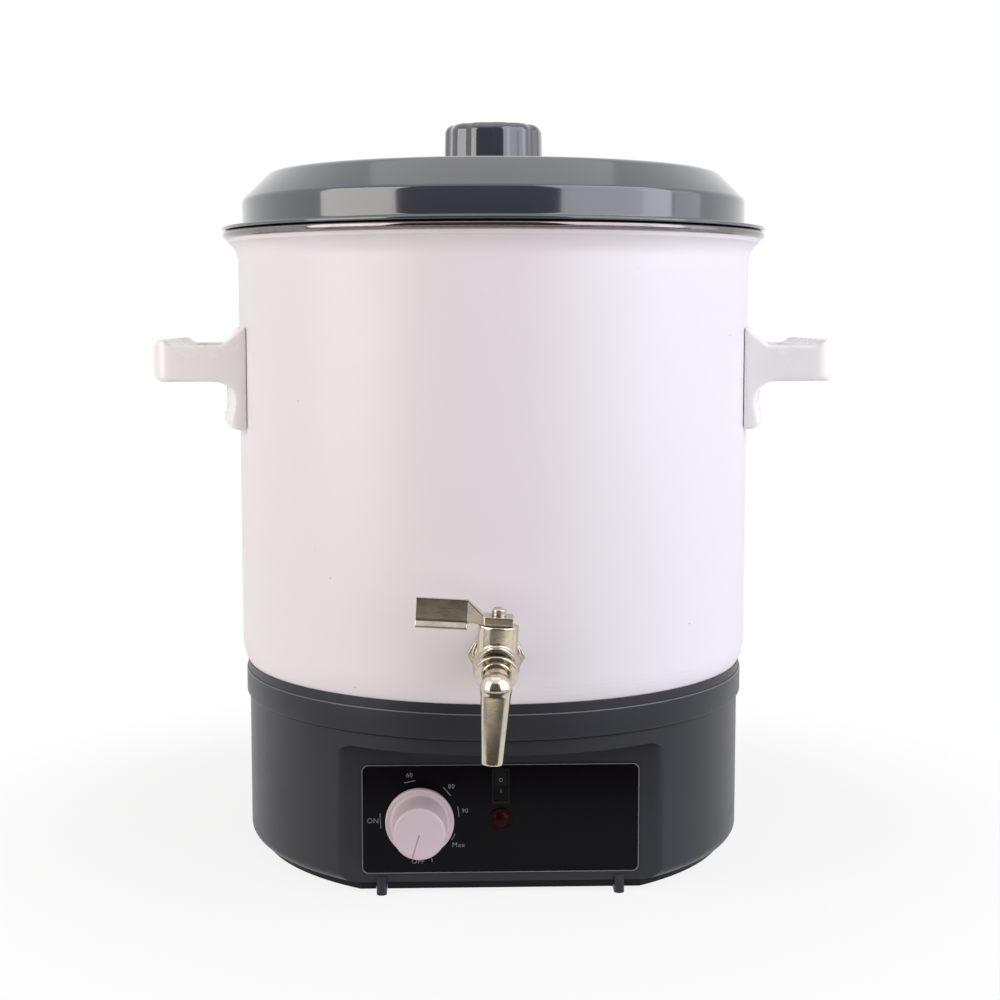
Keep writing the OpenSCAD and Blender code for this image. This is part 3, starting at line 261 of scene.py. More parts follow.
class Wire:
    """One socket of a finish. Arithmetic on wires and numbers adds Math nodes."""

    def __init__(self, finish, socket):
        self.finish = finish
        self.socket = socket

    def math(self, operation, *terms):
        inputs = dict(enumerate(terms))
        return self.finish.add("ShaderNodeMath", {"operation": operation}, inputs)["Value"]

    def __add__(self, other):
        return self.math("ADD", self, other)

    __radd__ = __add__

    def __sub__(self, other):
        return self.math("SUBTRACT", self, other)

    def __rsub__(self, other):
        return self.math("SUBTRACT", other, self)

    def __mul__(self, other):
        return self.math("MULTIPLY", self, other)

    __rmul__ = __mul__

    def ramp(self, low, high):
        """0 below low, 1 above high, smooth between."""
        return self.finish.add("ShaderNodeMapRange", {"interpolation_type": "SMOOTHSTEP"},
                               {"Value": self, "From Min": low, "From Max": high})["Result"]


class Finish:
    """A procedural material on a Principled BSDF, built from nodes."""

    def __init__(self, name):
        self.material = bpy.data.materials.new(name)
        self.material.use_nodes = True
        self.tree = self.material.node_tree
        self.tree.nodes.clear()
        self.shader = self.tree.nodes.new("ShaderNodeBsdfPrincipled")
        self.output = self.tree.nodes.new("ShaderNodeOutputMaterial")
        self.tree.links.new(self.shader.outputs["BSDF"], self.output.inputs["Surface"])
        self.place = self.add("ShaderNodeTexCoord", {}, {})["Object"]

    def add(self, kind, settings, inputs):
        """Adds a node, sets its settings, then its sockets' values or links, and returns its
        outputs by name or number."""
        node = self.tree.nodes.new(kind)
        for key, value in settings.items():
            setattr(node, key, value)
        self.plug(node, inputs)
        return Outputs(self, node)

    def plug(self, node, inputs):
        """Sets or links sockets of a node, named or numbered."""
        for key, value in inputs.items():
            socket = node.inputs[key]
            if isinstance(value, Wire):
                self.tree.links.new(value.socket, socket)
            elif isinstance(value, (tuple, list)) and len(value) == 3 and socket.type == "RGBA":
                socket.default_value = (*value, 1)
            else:
                socket.default_value = value

    def noise(self, scale, detail=3.0, roughness=0.5, stretch=(1, 1, 1)):
        """Cloudy noise on the piece's own coordinates, features about 1 / scale metres wide."""
        place = self.add("ShaderNodeMapping", {}, {"Vector": self.place, "Scale": stretch})
        return self.add("ShaderNodeTexNoise", {}, {
            "Vector": place["Vector"], "Scale": scale, "Detail": detail,
            "Roughness": roughness})["Fac"]

    def specks(self, scale, size):
        """1 inside small round specks, one in each cell of 1 / scale metres, else 0. The size is
        a speck's radius as a share of a cell."""
        spot = self.add("ShaderNodeTexVoronoi", {}, {
            "Vector": self.place, "Scale": scale, "Randomness": 1.0})["Distance"]
        return 1 - spot.ramp(size * 0.7, size)

    def mix(self, factor, first, second):
        """Two colours mixed by a factor. The numbers are the Mix node's colour sockets."""
        return self.add("ShaderNodeMix", {"data_type": "RGBA"},
                        {0: factor, 6: first, 7: second})[2]

    def bump(self, height, strength, distance, under=None):
        """A bump from a height, distance in metres."""
        inputs = {"Height": height, "Strength": strength, "Distance": distance}
        if under is not None:
            inputs["Normal"] = under
        return self.add("ShaderNodeBump", {}, inputs)["Normal"]

    def axis(self, number):
        """One coordinate of the piece's own place, 0 to 2 for X to Z."""
        return self.add("ShaderNodeSeparateXYZ", {}, {"Vector": self.place})[number]

    def distance(self):
        """The distance from the piece's origin, in metres."""
        return self.add("ShaderNodeVectorMath", {"operation": "LENGTH"}, {0: self.place})["Value"]

    def surface(self, **sockets):
        """Sets the shader's own sockets, their names written with underscores."""
        self.plug(self.shader, {key.replace("_", " "): value for key, value in sockets.items()})
        return self.material


class Outputs:
    """A node's outputs as wires."""

    def __init__(self, finish, node):
        self.finish = finish
        self.node = node

    def __getitem__(self, key):
        return Wire(self.finish, self.node.outputs[key])


def shade(base, factor):
    """A colour made lighter or darker."""
    return tuple(min(1.0, c * factor) for c in base)


def moulded(name, base, roughness, grain=0.05, coat=0.0, coat_rough=0.1, cloud=0.06, shine=0.5):
    """Moulded plastic: slight cloudiness of the colour, a fine grain, patches dulled by hands,
    and faint flow marks."""
    f = Finish(name)
    clouds = f.noise(9, detail=4)
    fine = f.noise(1400, detail=2)
    handled = f.noise(30, detail=5, roughness=0.62).ramp(0.48, 0.75)
    flow = f.bump(f.noise(60, detail=2), 0.006, 0.6 * MM)
    tone = f.mix(clouds, shade(base, 1 - cloud), shade(base, 1 + cloud))
    return f.surface(
        Base_Color=f.mix(0.05 * fine, tone, shade(base, 1.5)),
        Roughness=roughness + 0.06 * handled + 0.05 * (fine - 0.5),
        Normal=f.bump(fine, grain, 0.25 * MM, flow),
        Specular_IOR_Level=shine, Coat_Weight=coat, Coat_Roughness=coat_rough, IOR=REFRACTION)


def enamel(name, base):
    """Enamel on steel: softly glossy, with a fine orange-peel wave, faint clouds and a few dark
    specks."""
    f = Finish(name)
    clouds = f.noise(7, detail=3)
    specks = f.specks(55, 0.028) * f.noise(12, detail=2).ramp(0.52, 0.6)
    tone = f.mix(clouds, shade(base, 0.975), base)
    return f.surface(
        Base_Color=f.mix(0.8 * specks, tone, (0.05, 0.045, 0.05)),
        Roughness=0.34 + 0.08 * f.noise(40, detail=3).ramp(0.4, 0.7),
        Normal=f.bump(f.noise(110, detail=2), 0.05, 0.5 * MM), IOR=REFRACTION)


def plated(name, base, roughness, streak=(1, 1, 1), wear=0.12):
    """Bare or plated metal: polishing streaks, a slow wave of the surface and slightly duller
    patches where it is handled. The streaks run across the axis with the larger number."""
    f = Finish(name)
    streaks = f.noise(420, detail=3, roughness=0.6, stretch=streak)
    patches = f.noise(55, detail=4, roughness=0.6).ramp(0.45, 0.72)
    wave = f.bump(f.noise(70, detail=2), 0.08, 1.2 * MM)
    tone = f.mix(patches, base, shade(base, 0.8))
    return f.surface(
        Base_Color=f.mix(wear * streaks, tone, shade(base, 0.45)),
        Metallic=1.0,
        Roughness=roughness + 0.1 * patches + 0.07 * (streaks - 0.4),
        Normal=f.bump(streaks, 0.06, 0.3 * MM, wave))


def rubber(name, base, roughness=0.7):
    """Rubber: matt, dusty, finely grained."""
    f = Finish(name)
    fine = f.noise(900, detail=3)
    dust = f.noise(40, detail=5, roughness=0.65).ramp(0.5, 0.8)
    return f.surface(
        Base_Color=f.mix(0.3 * dust, f.mix(fine, shade(base, 0.85), base), shade(base, 1.8)),
        Roughness=roughness + 0.1 * dust,
        Normal=f.bump(fine, 0.15, 0.3 * MM))


def lens(name, base):
    """Plastic of a lamp's lens, unlit, with a fine ripple in its colour and surface."""
    f = Finish(name)
    ripple = f.noise(500, detail=2)
    return f.surface(
        Base_Color=f.mix(ripple, shade(base, 0.75), shade(base, 1.3)),
        Roughness=0.25 + 0.06 * ripple, IOR=REFRACTION, Specular_IOR_Level=0.08,
        Normal=f.bump(ripple, 0.1, 0.3 * MM))


def make_finishes(colours):
    """All finishes, by the record's material slot."""
    c = {key: tuple(getattr(colours, key)) for key in MelterColours.__annotations__}
    soot = (0.006, 0.006, 0.007)
    return {
        "housing": moulded("housing", c["housing"], 0.36, grain=0.06, shine=0.28),
        "black_plastic": moulded("black_plastic", soot, 0.35, grain=0.1, shine=0.15),
        "zinc_steel": plated("zinc_steel", (0.62, 0.63, 0.65), 0.3, streak=(1, 1, 6)),
        "terminal_plastic": moulded("terminal_plastic", (0.72, 0.68, 0.56), 0.5),
        "panel_gloss": moulded("panel_gloss", c["panel"], 0.2, grain=0.01, shine=0.1),
        "copper_bulb": plated("copper_bulb", (0.72, 0.38, 0.24), 0.3, streak=(1, 6, 6)),
        "lamp_red": lens("lamp_red", c["lamp"]),
        "aluminium_plate": plated("aluminium_plate", (0.72, 0.73, 0.74), 0.35, streak=(1, 8, 1)),
        "element_steel": plated("element_steel", (0.16, 0.14, 0.13), 0.45),
        "seal_rubber": rubber("seal_rubber", (0.02, 0.02, 0.02)),
        "enamel": enamel("enamel", c["enamel"]),
        "rim_steel": plated("rim_steel", c["rim"], 0.05, streak=(1, 1, 5), wear=0.15),
        "handle_plastic": moulded("handle_plastic", c["handle"], 0.26, grain=0.03, coat=0.2,
                                  cloud=0.015),
        "tap_rubber": rubber("tap_rubber", (0.5, 0.51, 0.5), 0.45),
        "nickel": plated("nickel", c["nickel"], 0.15, streak=(1, 1, 3), wear=0.15),
        "ptfe": moulded("ptfe", (0.8, 0.8, 0.77), 0.5, cloud=0.02),
        "lid_plastic": moulded("lid_plastic", c["lid"], 0.12, grain=0.012, coat=0.6, shine=0.9,
                               coat_rough=0.05, cloud=0.03),
        "dial_plastic": moulded("dial_plastic", c["dial"], 0.4, grain=0.05, cloud=0.015),
    }


def slot_of(node):
    """The record's material slot of a CAD node."""
    return next(s["material_slot"] for s in frame["record"]["subparts"] if s["node"] == node)


def body_of(node):
    """The body that carries a CAD node."""
    bodies = frame["record"]["behaviour"]["bodies"]
    return next(name for name, nodes in bodies.items() if node in nodes)


FINISHES = {}


# ---- Operators ----

class MelterOperator:
    """What the operators share: they change the scene and can be undone."""
    bl_options = {"REGISTER", "UNDO"}


class MELTER_OT_finishes(MelterOperator, bpy.types.Operator):
    """Give every part its finish"""
    bl_idname = "melter.finishes"
    bl_label = "Finishes"

    def execute(self, context):
        FINISHES.update(make_finishes(context.scene.melter_colours))
        for node, part in frame["nodes"].items():
            finish = FINISHES[slot_of(node)]
            for place in part.material_slots:
                place.material = finish
            if not part.material_slots:
                part.data.materials.append(finish)
        return {"FINISHED"}


class MELTER_OT_lid(MelterOperator, bpy.types.Operator):
    """Make the lid's moulded shell, with its edges rounded"""
    bl_idname = "melter.lid"
    bl_label = "Lid"

    def execute(self, context):
        # The shell's section, a closed line of (r, z) with rounded corners, turned about the Z
        # axis. The crown falls from the axis by the drop times the square of u, where u is the
        # share of the crown's radius.
        s = context.scene.melter_sizes
        low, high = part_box("lid_shell")
        out_r, bottom, top = high.x, low.z, high.z
        skirt_h, flange_t, wall_h, skirt_in = 6 * MM, 2.2 * MM, 18.5 * MM, 1.9 * MM
        drop = 5 * MM
        flange_low = bottom + skirt_h
        flange_top = flange_low + flange_t
        wall_top = flange_top + wall_h
        crown_top = top - drop
        skirt_r = s.wall_r - skirt_in
        t = s.lid_t
        slope_in = 1.2 * MM
        lip, hem = 0.9 * MM, 0.8 * MM
        dome = np.linspace(0, 1, 14)[1:-1]
        dome_out = [(s.crown_r * u, top - drop * u * u, 0) for u in dome]
        dome_in = [(s.crown_r * u, top - t - drop * u * u, 0) for u in dome[::-1]]
        profile = rounded([
            (0, top, 0), *dome_out,
            (s.crown_r, crown_top, 9 * MM), (s.wall_r, wall_top, 5 * MM),
            (s.wall_r, flange_top, 2.5 * MM), (out_r, flange_top, lip),
            (out_r, flange_low, lip), (skirt_r, flange_low, 0.3 * MM),
            (skirt_r, bottom, hem), (skirt_r - t, bottom, hem),
            (skirt_r - t, wall_top - slope_in, 3 * MM),
            (s.crown_r - slope_in, crown_top - t, 6 * MM),
            *dome_in, (0, top - t, 0)])
        piece = revolve("lid_cover", profile)
        finish_piece(piece, "lid", FINISHES["lid_plastic"], ["lid_shell"])
        return {"FINISHED"}


class MELTER_OT_knob(MelterOperator, bpy.types.Operator):
    """Make the lid's fluted knob, with its edges rounded"""
    bl_idname = "melter.knob"
    bl_label = "Knob"

    def execute(self, context):
        # Twelve flutes round the axis. A flute's line is the near side of a circle whose centre
        # stands outside the knob: r = centre cos a - sqrt(flute_r^2 - (centre sin a)^2), with a
        # from the flute's middle. It is blended softly with the knob's own radius, and then
        # drawn in by the draft up the flank, by a quarter circle over the edge, and to nothing
        # over the top, which rises by the crown times 1 - u^2.
        low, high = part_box("lid_knob")
        height = high.z - low.z
        wide, flute_r, depth, edge = high.x, 13 * MM, 1.3 * MM, 6 * MM
        draft, crown = 0.5 * MM, 0.8 * MM
        sector, first_flute = math.radians(30), math.radians(7)
        angle = np.linspace(0, 2 * math.pi, 720, endpoint=False)[:, None]
        off = (angle - first_flute) % sector - sector / 2
        centre = wide + flute_r - depth
        under = np.maximum(flute_r ** 2 - (centre * np.sin(off)) ** 2, 0)
        flute = centre * np.cos(off) - np.sqrt(under)
        sharp = 1.6 / MM
        lobed = -np.log(1 + np.exp(-sharp * (flute - wide)))
        lobed = (lobed - lobed.max()) / sharp + wide
        turn = np.linspace(0, math.pi / 2, 14)[None, :]
        flank = np.linspace(0, 1, 8)[None, :-1]
        top = np.linspace(1, 0, 20)[None, 1:]
        shoulder = height - edge - crown
        inset = np.concatenate([flank * draft, draft + edge * (1 - np.cos(turn))], axis=1)
        z_side = np.concatenate([flank * shoulder, shoulder + edge * np.sin(turn)], axis=1)
        side = lobed - inset
        rim = side[:, -1:]
        r = np.concatenate([0 * rim, side, rim * top], axis=1)
        z_top = height - crown + crown * (1 - top ** 2) + 0 * rim
        z = np.concatenate([0 * rim, z_side + 0 * rim, z_top], axis=1) + low.z
        grid = np.stack([r * np.cos(angle), r * np.sin(angle), z], axis=-1)
        faces = grid_faces(*r.shape, wrap_rows=True)
        piece = put_mesh("lid_grip", grid.reshape(-1, 3), faces, 50)
        finish_piece(piece, "lid", FINISHES["lid_plastic"], ["lid_knob"])
        return {"FINISHED"}


class MELTER_OT_collar(MelterOperator, bpy.types.Operator):
    """Make the base's collar with its bead, which is coloured lighter as a painted highlight, and
    a black ring under it as a painted shadow
    """
    bl_idname = "melter.collar"
    bl_label = "Collar"

    def execute(self, context):
        # Three closed lines of (r, z) with rounded corners, turned about the Z axis
        low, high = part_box("base_collar")
        wide, top = high.x, high.z
        base_top, wall_top = top - 22.7 * MM, top - 6.7 * MM
        lip_r = wide - 1.2 * MM
        lip_out, throat = lip_r + 0.2 * MM, lip_r - 3 * MM
        seat, seat_in = top - 13.95 * MM, 149 * MM
        seat_low = seat - 2.75 * MM
        plug = wide - 5.5 * MM
        plug_in = plug - 2.9 * MM
        edge = 0.4 * MM
        profile = rounded([
            (wide, base_top, 1.1 * MM), (wide, wall_top, 0.35 * MM),
            (lip_out, wall_top + 0.5 * MM, 0.2 * MM), (lip_out, top, 0.35 * MM),
            (lip_r, top, 0.3 * MM), (throat, top - 5.1 * MM, 1 * MM), (throat, seat, 0),
            (seat_in, seat, edge), (seat_in, seat_low, edge),
            (plug_in, seat_low, 0), (plug_in, low.z, edge),
            (plug, low.z, edge), (plug, base_top, 0)], 6)
        piece = revolve("base_collar_ring", profile)
        finish_piece(piece, "base", FINISHES["housing"], ["base_collar"])
        bead_in, bead_low = wide - 0.7 * MM, wall_top - 0.1 * MM
        bead = rounded([
            (bead_in, bead_low, 0), (wide, bead_low, 0.2 * MM),
            (wide - 0.1 * MM, wall_top + 0.45 * MM, 0.2 * MM),
            (bead_in, wall_top + 0.55 * MM, 0)], 5)
        # The bead's light grey is a painted highlight along the collar's top edge, lighter than
        # the housing.
        painted_highlight = moulded("worn_edge", (0.15, 0.15, 0.17), 0.3)
        finish_piece(revolve("collar_bead", bead), "base", painted_highlight)
        # A black ring just under the collar stands for the shadow in the groove there: a painted
        # shadow.
        shadow_in, shadow_low, shadow_top = wide - 4 * MM, base_top - 1.3 * MM, base_top + 0.1 * MM
        gap = rounded([
            (shadow_in, shadow_low, 0), (wide - 1.6 * MM, shadow_low, 0.3 * MM),
            (wide - 0.9 * MM, shadow_top, 0.1 * MM), (shadow_in, shadow_top, 0)], 4)
        dark = FINISHES["black_plastic"]
        finish_piece(revolve("collar_gap", gap), "base", dark)
        return {"FINISHED"}


class MELTER_OT_dial(MelterOperator, bpy.types.Operator):
    """Make the thermostat's dial, with its pointer line cut in"""
    bl_idname = "melter.dial"
    bl_label = "Dial"

    def execute(self, context):
        # A line of (r, y) with rounded corners, turned about the dial's own Y axis. The columns
        # crowd together at the pointer, where the face is cut in: the cut is full where the
        # distance off the pointer's line is small, and fades out over its flank.
        low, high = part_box("dial_knob")
        x0, z0 = (low.x + high.x) / 2, (low.z + high.z) / 2
        wide, long = (high.x - low.x) / 2, high.y - low.y
        grip, face = wide - 4 * MM, wide - 5.5 * MM
        skirt = 4 * MM
        line = rounded([
            (0, 0, 0), (wide, 0, 0.5 * MM), (wide, skirt, 1.4 * MM), (grip, skirt, 1.6 * MM),
            (face, long, 1.8 * MM), (0, long, 0)])
        top = np.linspace(line[-2], line[-1], 46)[1:]
        line = np.concatenate([line[:-1], top])
        pointer, near = math.radians(-107), math.radians(14)
        fine = np.linspace(-1, 1, 81) ** 3 * near
        rest = np.linspace(near, 2 * math.pi - near, 190)[1:-1]
        angle = (pointer + np.concatenate([fine, rest]))[:, None]
        r, y = line[None, :, 0] + 0 * angle, line[None, :, 1] + 0 * angle
        off = np.abs(r * np.sin(angle - pointer))
        cut_half, cut_flank, cut_depth, middle = 0.55 * MM, 0.15 * MM, 0.6 * MM, 0.6 * MM
        ahead = (np.cos(angle - pointer) > 0) & (y > long - 2 * MM) & (r > middle)
        cut = cut_depth * np.clip((cut_half - off) / cut_flank, 0, 1) * ahead
        x, z = x0 + r * np.cos(angle), z0 + r * np.sin(angle)
        grid = np.stack([x, high.y - (y - cut), z], axis=-1)
        faces = grid_faces(*r.shape, wrap_rows=True)
        piece = put_mesh("dial_cap", grid.reshape(-1, 3), faces, 40)
        finish_piece(piece, "dial", FINISHES["dial_plastic"], ["dial_knob"])
        return {"FINISHED"}


# The scale round the dial, in millimetres from the dial's axis: each word with the x and z of its
# middle and its height, and each tick with the x and z of its two ends
SCALE_WORDS = [("ON", -30.1, 0.3, 3.3), ("60", -6.5, 30, 2.9), ("80", 20.3, 22.4, 2.9),
               ("90", 29, 6.4, 2.9), ("Max", 25, -16, 3.3), ("OFF", -1.2, -26.6, 3.2)]
SCALE_TICKS = [[-25.4, 5.2, -24.9, -4.8], [-10, 24.9, -2.8, 26.3], [15.0, 21.9, 19.9, 16.3],
               [24.4, 9.3, 25.2, 2.4], [22.6, -8.8, 20.5, -12.8], [7.6, -24.6, 7.9, -27.2]]
# The rocker's signs, in millimetres: how far over its middle, and how high
ROCKER_SIGNS = [("O", 3.6, 2.4), ("I", -3.4, 2.4)]


class MELTER_OT_marks(MelterOperator, bpy.types.Operator):
    """Print the dial's scale and the signs on the rocker, and paint a highlight along the panel's
    edge
    """
    bl_idname = "melter.marks"
    bl_label = "Marks"

    def execute(self, context):
        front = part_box("control_panel")[0].y
        low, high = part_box("dial_knob")
        centre = np.array([(low.x + high.x) / 2, front, (low.z + high.z) / 2])
        white = tuple(context.scene.melter_colours.print_white)
        ink = moulded("printed_ink", white, 0.5, grain=0.02)
        for word, x, z, height in SCALE_WORDS:
            piece = flat_word("mark_" + word, word, height * MM)
            place_flat(piece, centre[0] + x * MM, front - PRINT_LIFT, centre[2] + z * MM)
            finish_piece(piece, "base", ink)
        ends = np.array(SCALE_TICKS) * MM
        start = np.stack([ends[:, 0], 0 * ends[:, 0], ends[:, 1]], axis=1)
        end = np.stack([ends[:, 2], 0 * ends[:, 0], ends[:, 3]], axis=1)
        stroke = context.scene.melter_sizes.stroke
        piece = strokes("mark_ticks", start + centre, end + centre, stroke)
        finish_piece(piece, "base", ink)
        # The panel's edge gets a painted highlight in the marks' grey.
        paint_panel_highlight(ink)
        mark_rocker(ink)
        return {"FINISHED"}


def strokes(name, start, end, width):
    """Straight printed strokes between arrays of end points (n, 3) on the panel's face: each is a
    thin block, its corners half the width to either side of the stroke's line."""
    along = end - start
    along = along / np.linalg.norm(along, axis=1)[:, None]
    across = np.stack([-along[:, 2], along[:, 1], along[:, 0]], axis=1) * width / 2
    flat = np.stack([start - across, end - across, end + across, start + across], axis=1)
    ink_t = 0.05 * MM
    raised = flat + np.array([0, -ink_t, 0])
    points = np.concatenate([flat, raised], axis=1)
    block = np.array([[0, 1, 2, 3], [7, 6, 5, 4], [0, 4, 5, 1],
                      [1, 5, 6, 2], [2, 6, 7, 3], [3, 7, 4, 0]])
    faces = block[None] + 8 * np.arange(len(start))[:, None, None]
    return put_mesh(name, points.reshape(-1, 3), faces.reshape(-1, 4))


def paint_panel_highlight(ink):
    """A painted highlight along the panel's bevelled edge, in the marks' grey: a slim band whose
    section, of (inset, y), is carried along the panel's rounded outline. An inset scales the
    outline about its middle by 1 - inset / half the panel's width, and the same for its height."""
    low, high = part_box("control_panel")
    corner = 4 * MM
    outline = rounded([(low.x, low.z, corner), (high.x, low.z, corner),
                       (high.x, high.z, corner), (low.x, high.z, corner)], 10)
    middle = np.array([(low.x + high.x) / 2, (low.z + high.z) / 2])
    half = np.array([(high.x - low.x) / 2, (high.z - low.z) / 2])
    section = np.array([[0, 0.35], [0, -0.02], [0.2, -0.1],
                        [0.45, -0.06], [0.5, 0.05], [0.5, 0.35]]) * MM
    inward = 1 - section[:, 0][None, :, None] / half[None, None, :]
    ring = middle + (outline - middle)[:, None, :] * inward
    y = low.y + section[None, :, 1] + 0 * ring[..., 0]
    grid = np.stack([ring[..., 0], y, ring[..., 1]], axis=-1)
    faces = grid_faces(len(outline), len(section), wrap_rows=True, wrap_columns=True)
    piece = put_mesh("panel_edge", grid.reshape(-1, 3), faces, 60)
    finish_piece(piece, "base", ink)


def mark_rocker(ink):
    """O and I on the rocker, each laid on the face that a ray from the front meets, and tilted
    with it."""
    rocker = frame["nodes"]["switch_rocker"]
    low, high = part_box("switch_rocker")
    x, z = (low.x + high.x) / 2, (low.z + high.z) / 2
    ahead, aside = 10 * MM, 0.01 * MM
    for word, rise, height in ROCKER_SIGNS:
        eye = Vector((x + aside, low.y - ahead, z + rise * MM))
        seen, spot, normal, _ = rocker.ray_cast(eye, Vector((0, 1, 0)))
        if not seen:
            raise RuntimeError("the rocker has no face under its mark")
        piece = flat_word("rocker_" + word, word, height * MM)
        tilt = math.atan2(normal.z, -normal.y)
        piece.data.transform(Matrix.Rotation(-tilt, 4, "X"))
        place_flat(piece, x, spot.y - PRINT_LIFT, spot.z)
        finish_piece(piece, "rocker", ink)


def place_flat(piece, x, y, z):
    """Moves a word's mesh to its place."""
    piece.data.transform(Matrix.Translation((x, y, z)))


def flat_word(name, word, height):
    """A word as a thin upright mesh that faces the front, its middle at the origin."""
    text = bpy.data.curves.new(name, "FONT")
    text.body = word
    text.size = height * 1.4
    text.space_character = 1.1
    text.align_x = "CENTER"
    text.align_y = "CENTER"
    text.extrude = 0.03 * MM
    text.resolution_u = 3
    holder = bpy.data.objects.new(name, text)
    bpy.context.scene.collection.objects.link(holder)
    bpy.context.view_layer.update()
    mesh = bpy.data.meshes.new_from_object(holder)
    bpy.data.objects.remove(holder)
    points = np.array([v.co for v in mesh.vertices])
    middle = (points.min(axis=0) + points.max(axis=0)) / 2
    mesh.transform(Matrix.Rotation(math.radians(90), 4, "X") @ Matrix.Translation(-Vector(middle)))
    mesh.name = name
    piece = bpy.data.objects.new(name, mesh)
    bpy.context.scene.collection.objects.link(piece)
    return piece


# Moulded and cast pieces, in groups: each node with the width of its net's cells in millimetres
# and the number of times that its points are moved
MOULDINGS = [("handle_left", 0.8, 60), ("handle_right", 0.8, 60)]
CASTINGS = [("tap_body", 0.5, 6), ("tap_spout", 0.5, 6), ("tap_hex_nut", 0.4, 4),
            ("tap_lever", 0.35, 5), ("tap_lever_screw", 0.2, 4)]


def soften_all(group, ending):
    """Puts a softened piece in the place of each node of a group."""
    for node, voxel, passes in group:
        piece = softened(node + ending, node, voxel * MM, passes)
        slot = slot_of(node)
        finish_piece(piece, body_of(node), FINISHES[slot], [node])


class MELTER_OT_handles(MelterOperator, bpy.types.Operator):
    """Make the side handles, with their edges rounded"""
    bl_idname = "melter.handles"
    bl_label = "Handles"

    def execute(self, context):
        soften_all(MOULDINGS, "_moulding")
        return {"FINISHED"}


class MELTER_OT_tap(MelterOperator, bpy.types.Operator):
    """Make the tap's castings, nut, lever and screw, with their edges rounded"""
    bl_idname = "melter.tap"
    bl_label = "Tap"

    def execute(self, context):
        soften_all(CASTINGS, "_casting")
        return {"FINISHED"}


# Each light with its place, its target, its width and height, all in metres, and its tint
LIGHTS = {
    "right": ((1.11, -0.85, 0.9), (0, 0, 0.4), 1.5, 1.75, (0.93, 0.94, 1.0)),
    "left": ((-1.22, -0.68, 0.7), (0, 0, 0.35), 0.95, 1.35, (1.0, 0.965, 0.92)),
    "side": ((1.45, -0.25, 0.55), (0, 0, 0.35), 0.9, 1.2, (0.84, 0.89, 1.0)),
    "top": ((0.0, -0.1, 1.9), (0, 0, 0.3), 1.6, 1.2, (1.0, 1.0, 1.0)),
}


class MELTER_OT_stage(MelterOperator, bpy.types.Operator):
    """Set up the floor, the lights and the camera"""
    bl_idname = "melter.stage"
    bl_label = "Stage"

    def execute(self, context):
        s = context.scene.melter_stage
        make_floor()
        make_world(s.ambient)
        make_curtain()
        for key, (place, target, width, height, tint) in LIGHTS.items():
            soft_light("light_" + key, place, target, width, height, getattr(s, key), tint)
        make_camera(s)
        context.scene.view_settings.view_transform = "Standard"
        return {"FINISHED"}


def aim(obj, place, target):
    """Puts a light at a place and turns its -Z axis, along which it shines, to the target."""
    obj.location = place
    direction = Vector(target) - Vector(place)
    obj.rotation_euler = direction.to_track_quat("-Z", "Y").to_euler()


def soft_light(name, place, target, width, height, radiance, tint):
    """A rectangular studio light. Its power in watts is pi x area x radiance."""
    light = bpy.data.lights.new(name, "AREA")
    light.shape = "RECTANGLE"
    light.size = width
    light.size_y = height
    light.energy = math.pi * width * height * radiance
    light.color = tint
    lamp = bpy.data.objects.new(name, light)
    bpy.context.scene.collection.objects.link(lamp)
    aim(lamp, place, target)


def make_floor():
    """A round pale floor: x = r cos a, y = r sin a, where r is the floor's radius times the
    square of the ring's share. The camera and the part's reflections see it mostly as plain
    white, with the lamps' shading on it near the part."""
    steps, rings, floor_r = 96, 24, 30
    angle = np.linspace(0, 2 * math.pi, steps, endpoint=False)[None, :]
    radius = np.linspace(0.001, 1, rings)[:, None] ** 2 * floor_r
    grid = np.stack([radius * np.cos(angle), radius * np.sin(angle), 0 * radius * angle], axis=-1)
    faces = grid_faces(rings, steps, wrap_columns=True)[:, ::-1]
    floor = put_mesh("floor", grid.reshape(-1, 3), faces)
    f = Finish("floor_paper")
    f.surface(Base_Color=(0.86, 0.86, 0.86), Roughness=0.9)
    rays = f.add("ShaderNodeLightPath", {}, {})
    seen = rays["Is Camera Ray"] + rays["Is Glossy Ray"] + rays["Is Transmission Ray"]
    away = f.distance().ramp(0.24, 0.5)
    share = (0.85 + 0.15 * away) * seen.ramp(0.4, 0.6)
    glow = f.add("ShaderNodeEmission", {}, {"Color": (1, 1, 1), "Strength": 1.0})
    paper = Outputs(f, f.shader)[0]
    both = f.add("ShaderNodeMixShader", {}, {0: share, 1: paper, 2: glow[0]})
    f.plug(f.output, {"Surface": both[0]})
    floor.data.materials.append(f.material)


